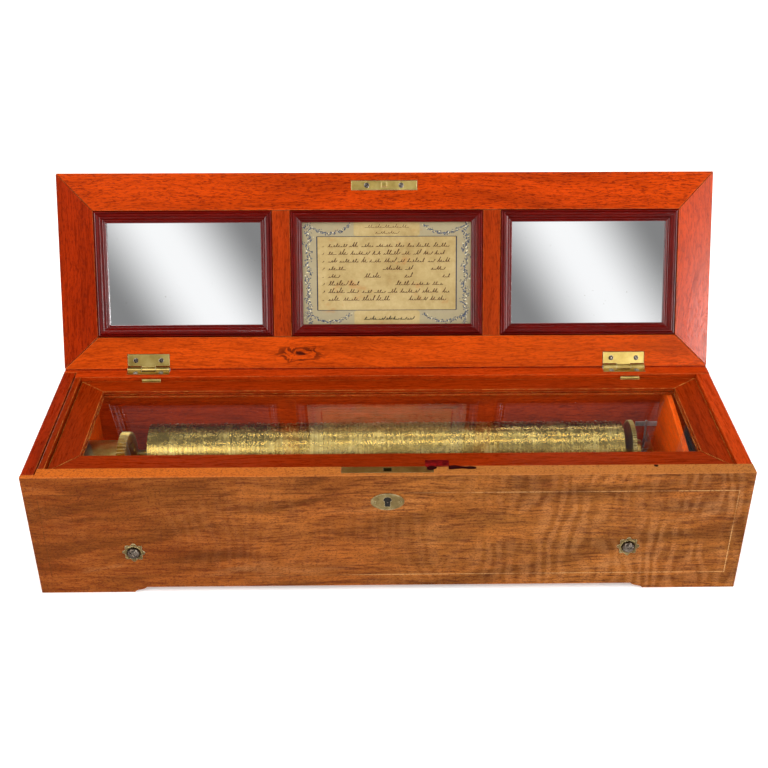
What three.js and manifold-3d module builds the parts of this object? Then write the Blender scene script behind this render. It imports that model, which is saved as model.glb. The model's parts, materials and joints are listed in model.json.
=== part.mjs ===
// Key-wind cylinder music box: a slim wooden case with a mirrored lid, a glazed inner lid,
// a drop flap at its left end, and the whole movement inside.
// Millimetres. +X to the right, +Y to the back, +Z up. The case is drawn with the front face
// at y = 0, standing on z = 0; the last lines move the origin under the middle of its box.
import * as THREE from 'three';
import { mergeVertices } from 'three/addons/utils/BufferGeometryUtils.js';
import Module from 'manifold-3d';

const wasm = await Module();
wasm.setup();

// ---------------------------------------------------------------- driving dimensions
const caseWidth = 560;
const caseDepth = 164;
const caseHeight = 112.5;
const wall = 12; // front, back and right walls
const fit = 0.1; // between fixed pieces
const gap = 0.3; // between pieces that are cut by or laid in one another
const footHeight = 5;
const footLength = 75;
const lidOpenAngle = 114.4; // drawn open, at the stop of its hinges
const lidLength = 167;
const lidFrame = 8; // thickness of the mitred inner frame
const lidBoard = 6; // thickness of the outer board
const lidGap = 0.8; // between the closed lid and the case
const hingeX = 207; // lid hinges, either side of the middle
const lockX = -1.6; // middle of the lock, its link plate and the escutcheon
const flapThickness = 10;
const lapThickness = 3.5; // of the front and back panels over the ends of the flap
const flapBottom = 12.2;
const partitionLeft = -257; // outer face of the partition behind the flap
const partitionRight = 240; // inner face of the right partition
const partitionThickness = 4.5;
const glassRecess = 3.2; // top of the glazed lid below the top of the case
const glassFrame = 8; // its thickness
const bedTop = 28; // top of the bedplate
const boardTop = 13.6; // what stands on the bottom board starts here
const cylinderAxis = { y: 109, z: 59.5 };
const cylinderRadius = 25.8;
const cylinderLeft = -201.5;
const cylinderRight = 199.5;
const barrelAxis = { y: 73, z: 65 };
const barrelRadius = 27.2;
const governorAxis = { y: 132.7, z: 42.9 };
const wormAxis = { x: 222, y: 119.5 };

const halfWidth = caseWidth / 2;
const lidPin = { y: caseDepth, z: caseHeight + lidGap / 2 };
const glassTop = caseHeight - glassRecess;
const glassBottom = glassTop - glassFrame;
const glassPin = { y: 150.5, z: glassTop + 0.8 };
const flapPin = { x: -halfWidth, z: flapBottom - 0.2 };
const innerLeft = -halfWidth + flapThickness + 1; // where the panels thicken behind the flap

// ---------------------------------------------------------------- materials
const finishes = {
  walnut: { color: 0x9c5f2c, roughness: 0.38, metalness: 0 },
  mahogany: { color: 0xa8380f, roughness: 0.3, metalness: 0 },
  redwood: { color: 0x84260a, roughness: 0.28, metalness: 0 },
  moulding: { color: 0x4a130a, roughness: 0.25, metalness: 0 },
  brass: { color: 0xb39a4c, roughness: 0.32, metalness: 1 },
  steel: { color: 0x8f9093, roughness: 0.35, metalness: 1 },
  mirror: { color: 0xd5d8dc, roughness: 0.03, metalness: 1 },
  glass: { color: 0xe8efec, roughness: 0.02, metalness: 0 },
  paper: { color: 0xd9c9a0, roughness: 0.85, metalness: 0 },
  ribbon: { color: 0x4b0d12, roughness: 0.7, metalness: 0 },
};

// ---------------------------------------------------------------- solids
const about = (middle, half) => [middle - half, middle + half];
const wider = (range, margin) => [range[0] - margin, range[1] + margin];

const box = (x, y, z) => {
  const geometry = new THREE.BoxGeometry(x[1] - x[0], y[1] - y[0], z[1] - z[0]);
  return geometry.translate((x[0] + x[1]) / 2, (y[0] + y[1]) / 2, (z[0] + z[1]) / 2);
};

// Turns a prism raised along z: its outline then lies across the named axis.
const prismTurns = {
  x: new THREE.Matrix3().set(0, 0, 1, 1, 0, 0, 0, 1, 0),
  y: new THREE.Matrix3().set(1, 0, 0, 0, 0, -1, 0, 1, 0),
  z: new THREE.Matrix3(),
};

// A prism whose outline is drawn in the plane across the axis: (y, z) for x, (x, z) for y, (x, y) for z.
const prism = (axis, outline, from, to, holes = []) => {
  const shape = new THREE.Shape(outline.map(([u, v]) => new THREE.Vector2(u, v)));
  for (const hole of holes) {
    shape.holes.push(new THREE.Path(hole.map(([u, v]) => new THREE.Vector2(u, v))));
  }
  const geometry = new THREE.ExtrudeGeometry(shape, { depth: to - from, bevelEnabled: false });
  geometry.translate(0, 0, from);
  const matrix = new THREE.Matrix4().setFromMatrix3(prismTurns[axis]);
  if (axis === 'y') {
    geometry.translate(0, 0, -(from + to));
  }
  return geometry.applyMatrix4(matrix);
};

const circle = (u, v, radius, sides = 24, start = 0) =>
  Array.from({ length: sides }, (_, i) => {
    const angle = start + (2 * Math.PI * i) / sides;
    return [u + radius * Math.cos(angle), v + radius * Math.sin(angle)];
  });

const rectangle = (u, v) => [[u[0], v[0]], [u[1], v[0]], [u[1], v[1]], [u[0], v[1]]];

// A turned piece along an axis: [distance along the axis, radius] from end to end.
const turned = (axis, centre, stations, sides = 24) => {
  const profile = [[stations[0][0], 0], ...stations, [stations.at(-1)[0], 0]];
  const geometry = new THREE.LatheGeometry(profile.map(([h, r]) => new THREE.Vector2(r, h)), sides);
  const place = new THREE.Matrix4();
  if (axis === 'x') {
    place.set(0, 1, 0, 0, 0, 0, 1, centre.y, 1, 0, 0, centre.z, 0, 0, 0, 1);
  } else if (axis === 'y') {
    place.setPosition(centre.x, 0, centre.z);
  } else {
    place.set(1, 0, 0, centre.x, 0, 0, -1, centre.y, 0, 1, 0, 0, 0, 0, 0, 1);
  }
  return geometry.applyMatrix4(place);
};

const toSolid = (geometry) => {
  const bare = geometry.clone();
  bare.deleteAttribute('normal');
  bare.deleteAttribute('uv');
  const merged = mergeVertices(bare, 1e-4);
  const corners = merged.index.array;
  const triVerts = [];
  for (let i = 0; i < corners.length; i += 3) {
    const [a, b, c] = corners.slice(i, i + 3);
    if (a !== b && b !== c && c !== a) {
      triVerts.push(a, b, c);
    }
  }
  const mesh = new wasm.Mesh({
    numProp: 3,
    vertProperties: new Float32Array(merged.attributes.position.array),
    triVerts: new Uint32Array(triVerts),
  });
  return new wasm.Manifold(mesh);
};

const fromSolid = (solid) => {
  const mesh = solid.getMesh();
  const geometry = new THREE.BufferGeometry();
  geometry.setAttribute('position', new THREE.BufferAttribute(mesh.vertProperties, 3));
  geometry.setIndex(new THREE.BufferAttribute(mesh.triVerts, 1));
  geometry.computeVertexNormals();
  return geometry;
};

const join = (...parts) => fromSolid(parts.map(toSolid).reduce((sum, part) => sum.add(part)));
const cut = (body, ...tools) =>
  fromSolid(tools.map(toSolid).reduce((rest, tool) => rest.subtract(tool), toSolid(body)));

// A mitred picture frame lying in x-y. The profile is [outward from the opening, height].
const mitredFrame = (x, y, z, profile) => {
  const closed = [...profile, profile[0]];
  const points = closed.map(([out, height]) => new THREE.Vector2(out + 1, height));
  const lathe = new THREE.LatheGeometry(points, 4, Math.PI / 4);
  const spots = lathe.attributes.position;
  for (let i = 0; i < spots.count; i += 1) {
    const out = Math.hypot(spots.getX(i), spots.getZ(i)) - 1;
    const px = spots.getX(i) > 0 ? x[1] + out : x[0] - out;
    const py = spots.getZ(i) < 0 ? y[1] + out : y[0] - out;
    spots.setXYZ(i, px, py, z + spots.getY(i));
  }
  return lathe;
};

// Outline of a toothed wheel: flat-topped teeth with sloping flanks.
const toothed = (centre, teeth, root, tip, phase, share = [0.46, 0.22]) =>
  Array.from({ length: teeth }).flatMap((_, i) => {
    const step = (2 * Math.PI) / teeth;
    const middle = phase + i * step;
    const corners = [[root, -share[0]], [tip, -share[1]], [tip, share[1]], [root, share[0]]];
    return corners.map(([radius, part]) => {
      const angle = middle + (part * step) / 2;
      return [centre[0] + radius * Math.cos(angle), centre[1] + radius * Math.sin(angle)];
    });
  });

// ---------------------------------------------------------------- scene graph
const caseGroup = new THREE.Group();
const lidGroup = new THREE.Group();
const glassGroup = new THREE.Group();
const flapGroup = new THREE.Group();
const movement = new THREE.Group();

const add = (parent, name, finish, geometry) => {
  const mesh = new THREE.Mesh(geometry, new THREE.MeshStandardMaterial(finishes[finish]));
  mesh.name = name;
  parent.add(mesh);
};

// ---------------------------------------------------------------- case
const screws = { left: { x: -201.7, z: 40.5 }, right: { x: 189.1, z: 42.7 } };

// Bottom edge of a long panel: two bracket feet with an ogee between them and the raised middle.
const footedOutline = () => {
  const foot = halfWidth - footLength;
  const curve = new THREE.CubicBezierCurve(
    new THREE.Vector2(foot, 0.6), new THREE.Vector2(foot - 3, 3.4),
    new THREE.Vector2(foot - 6, 1.2), new THREE.Vector2(foot - 10, footHeight));
  const ogee = curve.getPoints(6).map((point) => [point.x, point.y]);
  const right = [[halfWidth, 0], [foot, 0], ...ogee];
  const left = right.map(([x, z]) => [-x, z]);
  return [...left, ...right.toReversed(), [halfWidth, caseHeight], [-halfWidth, caseHeight]];
};

// The flap shuts into a rebate in the left end of each long panel, behind a thin lap.
const longPanel = (y, rebateY) =>
  cut(prism('y', footedOutline(), y[0], y[1]),
    box([-halfWidth - 1, innerLeft], rebateY, [flapBottom - gap, caseHeight + 1]));

const lock = { x: about(lockX, 35), y: [3.7, 11.7], z: [81, caseHeight], plate: 1.6 };
const lockPocketY = [lock.y[0] - gap, wall + 1];
const screwHole = 2.5;
add(caseGroup, 'front_panel', 'walnut', cut(
  longPanel([0, wall], [lapThickness, wall + 1]),
  box(wider(lock.x, gap), lockPocketY, [caseHeight - lock.plate - gap, caseHeight + 1]),
  box(about(lockX, 21), lockPocketY, [lock.z[0] - gap, caseHeight - 1]),
  box(about(lockX, 2), [-1, 5], [82.5, 88]),
  ...Object.values(screws).map((at) => turned('y', at, [[-1, screwHole], [wall + 1, screwHole]], 16)),
  turned('y', { x: lockX, z: 89 }, [[-1, 3], [5, 3]], 16)));

const hingeHalf = 18;
const hingeKnuckle = 2.5;
const hingeSpan = (x) => about(x, hingeHalf + gap);
const knuckleFront = 160.8; // the knuckles need the wood cut away behind this
const knucklePocket = (x) =>
  box(hingeSpan(x), [knuckleFront + 0.1, caseDepth + 1], [caseHeight - 2.9, caseHeight + 1]);
const leafPocket = (x) =>
  box(hingeSpan(x), [156.5, knuckleFront + 0.2], [caseHeight - 1.9, caseHeight + 1]);
const backRebate = [caseDepth - wall - 1, caseDepth - lapThickness];
add(caseGroup, 'back_panel', 'mahogany', cut(
  longPanel([caseDepth - wall, caseDepth], backRebate),
  ...[-hingeX, hingeX].flatMap((x) => [knucklePocket(x), leafPocket(x)])));

const innerY = [wall + fit, caseDepth - wall - fit];
add(caseGroup, 'right_end_panel', 'mahogany',
  box([halfWidth - wall, halfWidth], innerY, [footHeight, caseHeight]));
const sillTop = flapBottom - gap - 0.2;
const flapHinge = { y: [22, 142], knuckles: 5, radius: 1.9 };
add(caseGroup, 'flap_sill', 'mahogany', cut(
  box([-halfWidth, innerLeft], innerY, [footHeight, sillTop]),
  box([-halfWidth - 1, -halfWidth + 2.3], wider(flapHinge.y, 0.5), [9.7, 20]),
  box([-halfWidth - 1, -halfWidth + 1.5], wider(flapHinge.y, 0.5), [5.9, 20])));
add(caseGroup, 'bottom_board', 'mahogany',
  box([innerLeft + fit, halfWidth - wall - fit], innerY, [6.5, 13.5]));
add(caseGroup, 'end_rail', 'redwood', box([innerLeft + 0.2, -263.6], innerY, [97, caseHeight]));

// The levers and the winding square come through the left partition, and the click turns in it.
const ratchetTeeth = 24;
const clickTooth = (2 * Math.PI * 7) / ratchetTeeth; // direction of the tooth face that the click holds
const fromTooth = ([along, out]) => [
  barrelAxis.y + out * Math.cos(clickTooth) + along * Math.sin(clickTooth),
  barrelAxis.z + out * Math.sin(clickTooth) - along * Math.cos(clickTooth),
];
const [clickY, clickZ] = fromTooth([17.5, 15]);
const clickPivot = { y: clickY, z: clickZ };
const startLever = { x: -241, y: 27 };
const changeLever = { x: -241, y: 126 };
const leverZ = [40, 42.4];
const leftPartitionX = [partitionLeft, partitionLeft + partitionThickness];
const throughPartition = (at, radius, sides) =>
  turned('x', at, wider(leftPartitionX, 1).map((x) => [x, radius]), sides);
add(caseGroup, 'left_partition', 'mahogany', cut(
  box(leftPartitionX, innerY, [boardTop, glassBottom - gap]),
  throughPartition(barrelAxis, 5.5, 16),
  throughPartition(clickPivot, 1.7, 12),
  ...[startLever, changeLever].map((at) =>
    box(wider(leftPartitionX, 1), about(at.y, 8), [leverZ[0] - 2, leverZ[1] + 3]))));

// The right partition is a shaped board: its top falls to the front, with an arch cut beneath.
const cheek = () => {
  const top = new THREE.CubicBezierCurve(
    new THREE.Vector2(20, 80), new THREE.Vector2(50, 90),
    new THREE.Vector2(90, 97), new THREE.Vector2(140, glassBottom - gap));
  const arch = new THREE.EllipseCurve(88, boardTop, 42, 44, 0, Math.PI, false);
  return [
    [innerY[0], boardTop], [innerY[0], 78], ...top.getPoints(8).map((p) => [p.x, p.y]),
    [innerY[1], glassBottom - gap], [innerY[1], boardTop],
    ...arch.getPoints(14).map((p) => [p.x, p.y]),
  ].reverse();
};
add(caseGroup, 'right_partition', 'mahogany',
  prism('x', cheek(), partitionRight, partitionRight + partitionThickness));

// ---------------------------------------------------------------- lock and screws
const linkMiddle = 7.8;
add(caseGroup, 'lock_case', 'brass', cut(
  join(box(lock.x, lock.y, [caseHeight - lock.plate, caseHeight]),
    box(about(lockX, 20), [4.2, 11.2], [lock.z[0], caseHeight - 1])),
  box(about(lockX, 3.2), about(linkMiddle, 2.5), [97.5, caseHeight + 1]),
  box([lockX - 3.3, lockX + 17.5], [6.2, 9.4], [98, 110]),
  box([lockX - 9.5, lockX - 3], [6.6, 9], [102.4, 106.6]),
  turned('y', { x: lockX, z: 88.5 }, [[4, 2.8], [9, 2.8]], 12)));

// The bolt slides to the left through the eye of the link.
add(caseGroup, 'lock_bolt', 'steel', join(
  box([lockX + 9, lockX + 17], [6.5, 9.1], [99, 108]),
  box([lockX + 3.4, lockX + 9.5], [7, 8.6], [103.6, 105.4])));

// An oval with slightly pointed ends, from one quarter of it turned and mirrored.
const pointedOval = (halfLength, halfHeight, x, z) => {
  const quarter = new THREE.CubicBezierCurve(
    new THREE.Vector2(1, 0), new THREE.Vector2(0.8, 0.72),
    new THREE.Vector2(0.45, 1), new THREE.Vector2(0, 1)).getPoints(5).map((p) => [p.x, p.y]);
  const half = [...quarter, ...quarter.slice(1, -1).map(([u, v]) => [-u, v]).reverse()];
  const whole = [...half, ...half.map(([u, v]) => [-u, -v])];
  return whole.map(([u, v]) => [x + halfLength * u, z + halfHeight * v]);
};
const keyhole = [
  ...circle(lockX, 89.4, 2.4, 14, -Math.PI / 3).slice(0, 12), [lockX - 1.3, 83.4], [lockX + 1.3, 83.4],
];
add(caseGroup, 'keyhole_escutcheon', 'brass',
  prism('y', pointedOval(13, 7.8, lockX, 88), -0.7, -0.05, [keyhole.reverse()]));

const star = (x, z) =>
  Array.from({ length: 32 }, (_, i) => {
    const radius = i % 2 ? 7.4 : 9;
    const angle = (Math.PI * i) / 16;
    return [x + radius * Math.cos(angle), z + radius * Math.sin(angle)];
  });
for (const [side, at] of Object.entries(screws)) {
  add(caseGroup, `screw_rosette_${side}`, 'brass',
    prism('y', star(at.x, at.z), -1.3, -0.05, [circle(at.x, at.z, 2.5, 16).reverse()]));
  add(caseGroup, `movement_screw_${side}`, 'steel', cut(
    turned('y', at, [[-4, 1.8], [-3.6, 3.4], [-2.6, 4.7], [-1.35, 5], [-1.35, 2.1], [17, 2.1]], 20),
    box([at.x - 6, at.x + 6], [-5, -3], [at.z - 0.5, at.z + 0.5])));
}

// ---------------------------------------------------------------- lid, drawn shut in its own group
const lidBottom = caseHeight + lidGap;
const lidBack = caseDepth - 0.8;
const lidFront = caseDepth - lidLength;
const openX = [-250, 251.5];
const muntins = { left: [-97.6, -82.4], right: [83.4, 98.3] };
const openY = [caseDepth - 135.7, caseDepth - 28.2];
const frameZ = [lidBottom, lidBottom + lidFrame];
const boardZ = [frameZ[1] + gap / 2, frameZ[1] + lidBoard];
const seam = gap / 2;

add(lidGroup, 'lid_board', 'walnut', box([-halfWidth, halfWidth], [lidFront, lidBack], boardZ));

const linkPlate = { x: [lockX - 27.8, lockX + 28.1], y: [3.9, 11.6], thickness: 1.5 };
const letInZ = [lidBottom - 1, lidBottom + linkPlate.thickness + gap];
const mitredRail = (edge, inner) =>
  prism('z', [
    [-halfWidth + seam, edge], [halfWidth - seam, edge],
    [openX[1] - seam, inner], [openX[0] + seam, inner],
  ], ...frameZ);
add(lidGroup, 'lid_front_rail', 'mahogany', cut(
  mitredRail(lidFront, openY[0] - seam),
  box(wider(linkPlate.x, gap), wider(linkPlate.y, gap), letInZ)));
const lidLeafPocket = (x) => box(hingeSpan(x), [caseDepth - 13.6, caseDepth], letInZ);
const lidKnucklePocket = (x) =>
  box(hingeSpan(x), [knuckleFront + 0.1, caseDepth + 1], [lidBottom - 1, lidBottom + 3]);
add(lidGroup, 'lid_back_rail', 'mahogany', cut(
  mitredRail(lidBack, openY[1] + seam),
  ...[-hingeX, hingeX].flatMap((x) => [lidLeafPocket(x), lidKnucklePocket(x)])));
const mitredStile = (edge, inner) =>
  prism('z', [
    [edge, lidFront + gap], [inner, openY[0] + gap],
    [inner, openY[1] - gap], [edge, lidBack - gap],
  ], ...frameZ);
add(lidGroup, 'lid_left_stile', 'mahogany', mitredStile(-halfWidth, openX[0]));
add(lidGroup, 'lid_right_stile', 'mahogany', mitredStile(halfWidth, openX[1]));
for (const [side, x] of Object.entries(muntins)) {
  add(lidGroup, `lid_muntin_${side}`, 'mahogany', box(x, [openY[0] + seam, openY[1] - seam], frameZ));
}

// Each opening holds a stepped moulding, and a mirror or the tune card under its lip.
const mouldingWidth = 10.2;
const panes = {
  left: [openX[0], muntins.left[0]],
  centre: [muntins.left[1], muntins.right[0]],
  right: [muntins.right[1], openX[1]],
};
const base = frameZ[1];
const underLip = 2.2; // how far the mirrors and the card go under the moulding
const mouldingProfile = [
  [0, -3], [0, -5], [1.6, -5.6], [2.6, -7.2], [4.6, -7.8], [5.6, -9], [7.4, -9.5], [9.2, -8.9],
  [mouldingWidth - gap, -7.6], [mouldingWidth - gap, -0.2], [2.6, -0.2], [2.6, -3],
];
for (const [side, x] of Object.entries(panes)) {
  const inner = [wider(x, -mouldingWidth), wider(openY, -mouldingWidth)];
  add(lidGroup, `lid_moulding_${side}`, 'moulding', mitredFrame(...inner, base, mouldingProfile));
  const sheet = inner.map((range) => wider(range, underLip));
  if (side === 'centre') {
    add(lidGroup, 'tune_card', 'paper', box(...sheet, [base - 2.7, base - 1.7]));
  } else {
    add(lidGroup, `lid_mirror_${side}`, 'mirror', box(...sheet, [base - 2.7, base - 0.3]));
  }
}

// The link plate carries a flat link with an eye, which drops into the lock.
add(lidGroup, 'lid_link_plate', 'brass', cut(
  join(box(linkPlate.x, linkPlate.y, [lidBottom, lidBottom + linkPlate.thickness]),
    box(about(lockX, 2.3), about(linkMiddle, 1.7), [lidBottom - 13, lidBottom + 0.5])),
  box(about(lockX, 4), about(linkMiddle, 1), [lidBottom - 10.4, lidBottom - 7.2])));

// ---------------------------------------------------------------- lid hinges
const middleHalf = 6; // half length of the lid leaf's knuckle
for (const [side, x] of [['left', -hingeX], ['right', hingeX]]) {
  const along = about(x, hingeHalf);
  const barrel = (from, to, radius) =>
    turned('x', lidPin, [[x + from, radius], [x + to, radius]], 16);
  const leaf = [caseDepth - 7.2, caseDepth - 0.1];
  add(caseGroup, `lid_hinge_case_leaf_${side}`, 'brass', join(
    cut(box(along, leaf, [caseHeight - 1.6, caseHeight - 0.05]),
      box(about(x, middleHalf + 0.4), [knuckleFront, caseDepth + 1], [109, 114])),
    barrel(-hingeHalf, -middleHalf - 0.3, hingeKnuckle),
    barrel(middleHalf + 0.3, hingeHalf, hingeKnuckle),
    barrel(-hingeHalf, hingeHalf, 1)));
  add(lidGroup, `lid_hinge_lid_leaf_${side}`, 'brass', cut(
    join(
      cut(box(along, [caseDepth - 13.3, caseDepth - 0.5], [lidBottom + 0.05, lidBottom + 1.6]),
        box([x - hingeHalf - 1, x - middleHalf], [knuckleFront, caseDepth + 1], [109, 118]),
        box([x + middleHalf, x + hingeHalf + 1], [knuckleFront, caseDepth + 1], [109, 118])),
      barrel(-middleHalf, middleHalf, hingeKnuckle)),
    barrel(-hingeHalf, hingeHalf, 1.25)));
}

// ---------------------------------------------------------------- glazed inner lid
const glassX = [-262.4, halfWidth - wall - 0.7];
const glassY = [wall + 1, 150.3];
const lightX = [-241.3, 245.8]; // the clear opening
const lightY = [35.2, 133];
const glassZ = [glassBottom, glassTop];
const rebate = { in: 4, z: [glassBottom + 1.4, glassBottom + 5] };
const paneCut = box(wider(lightX, rebate.in), wider(lightY, rebate.in), rebate.z);
const glassMember = (outline) => cut(prism('z', outline, ...glassZ), paneCut);
const small = 0.12; // half the joint between two members
add(glassGroup, 'glass_frame_front', 'redwood', glassMember([
  [glassX[0] + small, glassY[0]], [glassX[1] - small, glassY[0]],
  [lightX[1] - small, lightY[0]], [lightX[0] + small, lightY[0]]]));
const glassHingeX = { left: -203, right: 210.5 };
const glassHingeHalf = 8;
const glassLeafPocket = (x) =>
  box(about(x, glassHingeHalf + gap), [148.6, 152], [glassTop - 2.2, glassTop + 1]);
add(glassGroup, 'glass_frame_back', 'redwood', cut(
  glassMember([
    [glassX[0] + small, glassY[1]], [lightX[0] + small, lightY[1]],
    [lightX[1] - small, lightY[1]], [glassX[1] - small, glassY[1]]]),
  ...Object.values(glassHingeX).map(glassLeafPocket)));
add(glassGroup, 'glass_frame_left', 'redwood', glassMember([
  [glassX[0], glassY[0] + small], [lightX[0], lightY[0] + small],
  [lightX[0], lightY[1] - small], [glassX[0], glassY[1] - small]]));
add(glassGroup, 'glass_frame_right', 'redwood', glassMember([
  [glassX[1], glassY[0] + small], [glassX[1], glassY[1] - small],
  [lightX[1], lightY[1] - small], [lightX[1], lightY[0] + small]]));
add(glassGroup, 'glass_pane', 'glass',
  box(wider(lightX, rebate.in - gap), wider(lightY, rebate.in - gap), wider(rebate.z, -gap)));
for (const [side, x] of Object.entries(glassHingeX)) {
  add(glassGroup, `glass_hinge_${side}`, 'brass', join(
    box(about(x, glassHingeHalf), [148.9, 150.5], [glassTop - 1.9, glassTop - 0.1]),
    turned('x', glassPin, about(x, glassHingeHalf).map((end) => [end, 1.35]), 12)));
}
// The silk pull lies over the front rail and on the edge of the case.
const pull = { x: [27.5, 46.5], thickness: 0.4, low: glassTop + 0.1, high: caseHeight + 0.15 };
const pullUnder = [[26, pull.low], [16.4, pull.low], [12.2, pull.high], [4.2, pull.high]];
const pullOver = pullUnder.map(([y, z]) => [z === pull.low ? y + 0.2 : y, z + pull.thickness]).reverse();
add(glassGroup, 'ribbon_pull', 'ribbon', prism('x', [...pullUnder, ...pullOver].reverse(), ...pull.x));

// ---------------------------------------------------------------- drop flap at the left end
const flapY = [lapThickness + gap, caseDepth - lapThickness - gap];
const flapX = [-halfWidth, -halfWidth + flapThickness];
const flapLeaf = [flapX[0] + 0.1, flapX[0] + 1.3];
add(flapGroup, 'end_flap', 'mahogany', cut(
  box(flapX, flapY, [flapBottom, caseHeight]),
  box([flapX[0] - 1, flapX[0] + 2.4], wider(flapHinge.y, 0.5), [flapBottom - 1, flapBottom + 2.4]),
  box([flapX[0] - 1, flapX[0] + 1.5], wider(flapHinge.y, 0.5), [flapBottom - 1, flapBottom + 9])));
const knuckle = (index) => {
  const pitch = (flapHinge.y[1] - flapHinge.y[0]) / flapHinge.knuckles;
  const from = flapHinge.y[0] + index * pitch;
  return [from + 0.15, from + pitch - 0.15];
};
const knuckleSolid = (index, radius) =>
  turned('y', flapPin, knuckle(index).map((y) => [y, radius]), 12);
const pinBore = turned('y', flapPin, [[0, 1.1], [caseDepth, 1.1]], 12);
add(flapGroup, 'flap_hinge_upper_leaf', 'brass', cut(
  join(
    box(flapLeaf, flapHinge.y, [flapBottom + 2.2, flapBottom + 8.7]),
    ...[1, 3].flatMap((i) => [
      knuckleSolid(i, flapHinge.radius), box(flapLeaf, knuckle(i), [flapPin.z, flapBottom + 3])])),
  pinBore));
add(caseGroup, 'flap_hinge_lower_leaf', 'brass', join(
  box(flapLeaf, flapHinge.y, [6.1, flapPin.z - 2.2]),
  turned('y', flapPin, flapHinge.y.map((y) => [y, 0.9]), 12),
  ...[0, 2, 4].flatMap((i) => [
    knuckleSolid(i, flapHinge.radius), box(flapLeaf, knuckle(i), [8, flapPin.z])])));

// ---------------------------------------------------------------- movement: bedplate, cocks and comb
const bedBottom = 22;
const post = (at) => box(about(at.x, 7), [wall + 0.3, 21], [bedTop - 1, at.z + 7]);
const foot = (x, y) => turned('z', { x, y }, [[boardTop, 6], [bedBottom + 1, 6]], 12);
const leverPost = (at) =>
  turned('z', at, [
    [bedTop - 1, 3.5], [leverZ[0] - 0.2, 3.5],
    [leverZ[0] - 0.2, 1.4], [leverZ[1] + 1.2, 1.4],
  ], 12);
add(movement, 'bedplate', 'brass', cut(
  join(
    box([-246, 232], [16, 148], [bedBottom, bedTop]),
    ...Object.values(screws).map(post),
    ...[-200, 190].flatMap((x) => [foot(x, 30), foot(x, 135)]),
    ...[startLever, changeLever].map(leverPost)),
  ...Object.values(screws).map((at) => turned('y', at, [[wall, 2.3], [18, 2.3]], 12))));

// A plate cock: a foot flange on the bedplate and an upright with a round head and a bore.
const onBed = bedTop + fit;
const upright = (axis, x, half) => [
  box(x, about(axis.y, half), [onBed, axis.z]),
  turned('x', axis, x.map((end) => [end, half]), 20),
];
const boreThrough = (axis, x, radius, sides = 20) =>
  turned('x', axis, wider(x, 1).map((end) => [end, radius]), sides);
const cock = (axis, x, half, bore, flange) =>
  cut(join(...upright(axis, x, half), box(flange, about(axis.y, half), [onBed, bedTop + 3.1])),
    boreThrough(axis, x, bore));
add(movement, 'cylinder_cock_left', 'brass', cock(cylinderAxis, [-226, -221], 6.5, 2.15, [-234, -221]));
add(movement, 'cylinder_cock_right', 'brass', cock(cylinderAxis, [212, 217], 7, 2.15, [212, 219]));

const barrelPlates = [[-251.8, -249], [-210.5, -207]];
const plateHalf = 11;
add(movement, 'barrel_bracket', 'brass', cut(
  join(
    ...barrelPlates.flatMap((x) => upright(barrelAxis, x, plateHalf)),
    box([barrelPlates[0][0], barrelPlates[1][1]], about(barrelAxis.y, plateHalf), [onBed, bedTop + 2.2])),
  ...barrelPlates.map((x) => boreThrough(barrelAxis, x, 3.15))));

const combX = [-200, 198];
const combTeeth = 66;
const combTip = cylinderAxis.y - cylinderRadius - 0.9;
const combZ = [cylinderAxis.z - 2.2, cylinderAxis.z - 0.6];
const combRoot = (x) => 58 - 7 * ((x - combX[0]) / (combX[1] - combX[0]));
add(movement, 'comb_base', 'brass', box(combX, [30, 50], [onBed, combZ[0] - fit]));
const combOutline = () => {
  const pitch = (combX[1] - combX[0]) / combTeeth;
  const slot = 0.5; // half the slot between two teeth at their roots
  const taper = 0.9;
  const teeth = Array.from({ length: combTeeth }).flatMap((_, i) => {
    const left = combX[0] + i * pitch + slot;
    const right = combX[0] + (i + 1) * pitch - slot;
    return [
      [left, combRoot(left)], [left + taper, combTip],
      [right - taper, combTip], [right, combRoot(right)],
    ];
  });
  const ends = combX.map((x) => [[x, 32], [x, combRoot(x)]]);
  return [...ends[0], ...teeth, ...ends[1].reverse()];
};
add(movement, 'comb', 'steel', prism('z', combOutline().reverse(), ...combZ));

// The governor stands behind the right cock; the endless screw runs upright through its arm.
const governorX = [212, 230.5];
const plateY = [125, 146];
const armZ = [54.6, 57.4];
add(movement, 'governor_cock', 'brass', cut(
  join(
    box([governorX[0], governorX[0] + 2.4], plateY, [onBed, armZ[1]]),
    box([governorX[1] - 2.4, governorX[1]], plateY, [onBed, armZ[1]]),
    box(governorX, [117, plateY[1]], [onBed, bedTop + 2.2]),
    box(governorX, [116, 127], armZ)),
  boreThrough(governorAxis, governorX, 1.3, 12),
  turned('z', wormAxis, [[armZ[0] - 1, 1.4], [armZ[1] + 1, 1.4]], 12)));

// ---------------------------------------------------------------- movement: what turns
const train = { barrel: 60, pinion: 6, great: 72, governor: 8 };
const wheelX = [-219, -212];
const barrelX = [-248.4, -219.2];
const centreLine = (from, to) => ({
  angle: Math.atan2(to.z - from.z, to.y - from.y),
  length: Math.hypot(to.z - from.z, to.y - from.y),
});
const springLine = centreLine(barrelAxis, cylinderAxis);
const barrelPitch = (springLine.length * train.barrel) / (train.barrel + train.pinion);
const pinionPitch = springLine.length - barrelPitch;
const wheelTeeth = toothed(
  [barrelAxis.y, barrelAxis.z], train.barrel, barrelPitch - 1.35, barrelPitch + 0.85,
  springLine.angle, [0.8, 0.26]);
add(movement, 'spring_barrel', 'brass', cut(
  join(
    turned('x', barrelAxis, [[barrelX[0], barrelRadius], [wheelX[0] + 1, barrelRadius]], 40),
    prism('x', wheelTeeth, ...wheelX)),
  turned('x', barrelAxis, [[wheelX[0] + 2, 24], [wheelX[1] + 1, 26]], 32),
  turned('x', barrelAxis, [[barrelX[0] - 1, 3.2], [wheelX[1] + 1, 3.2]], 20)));

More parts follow.
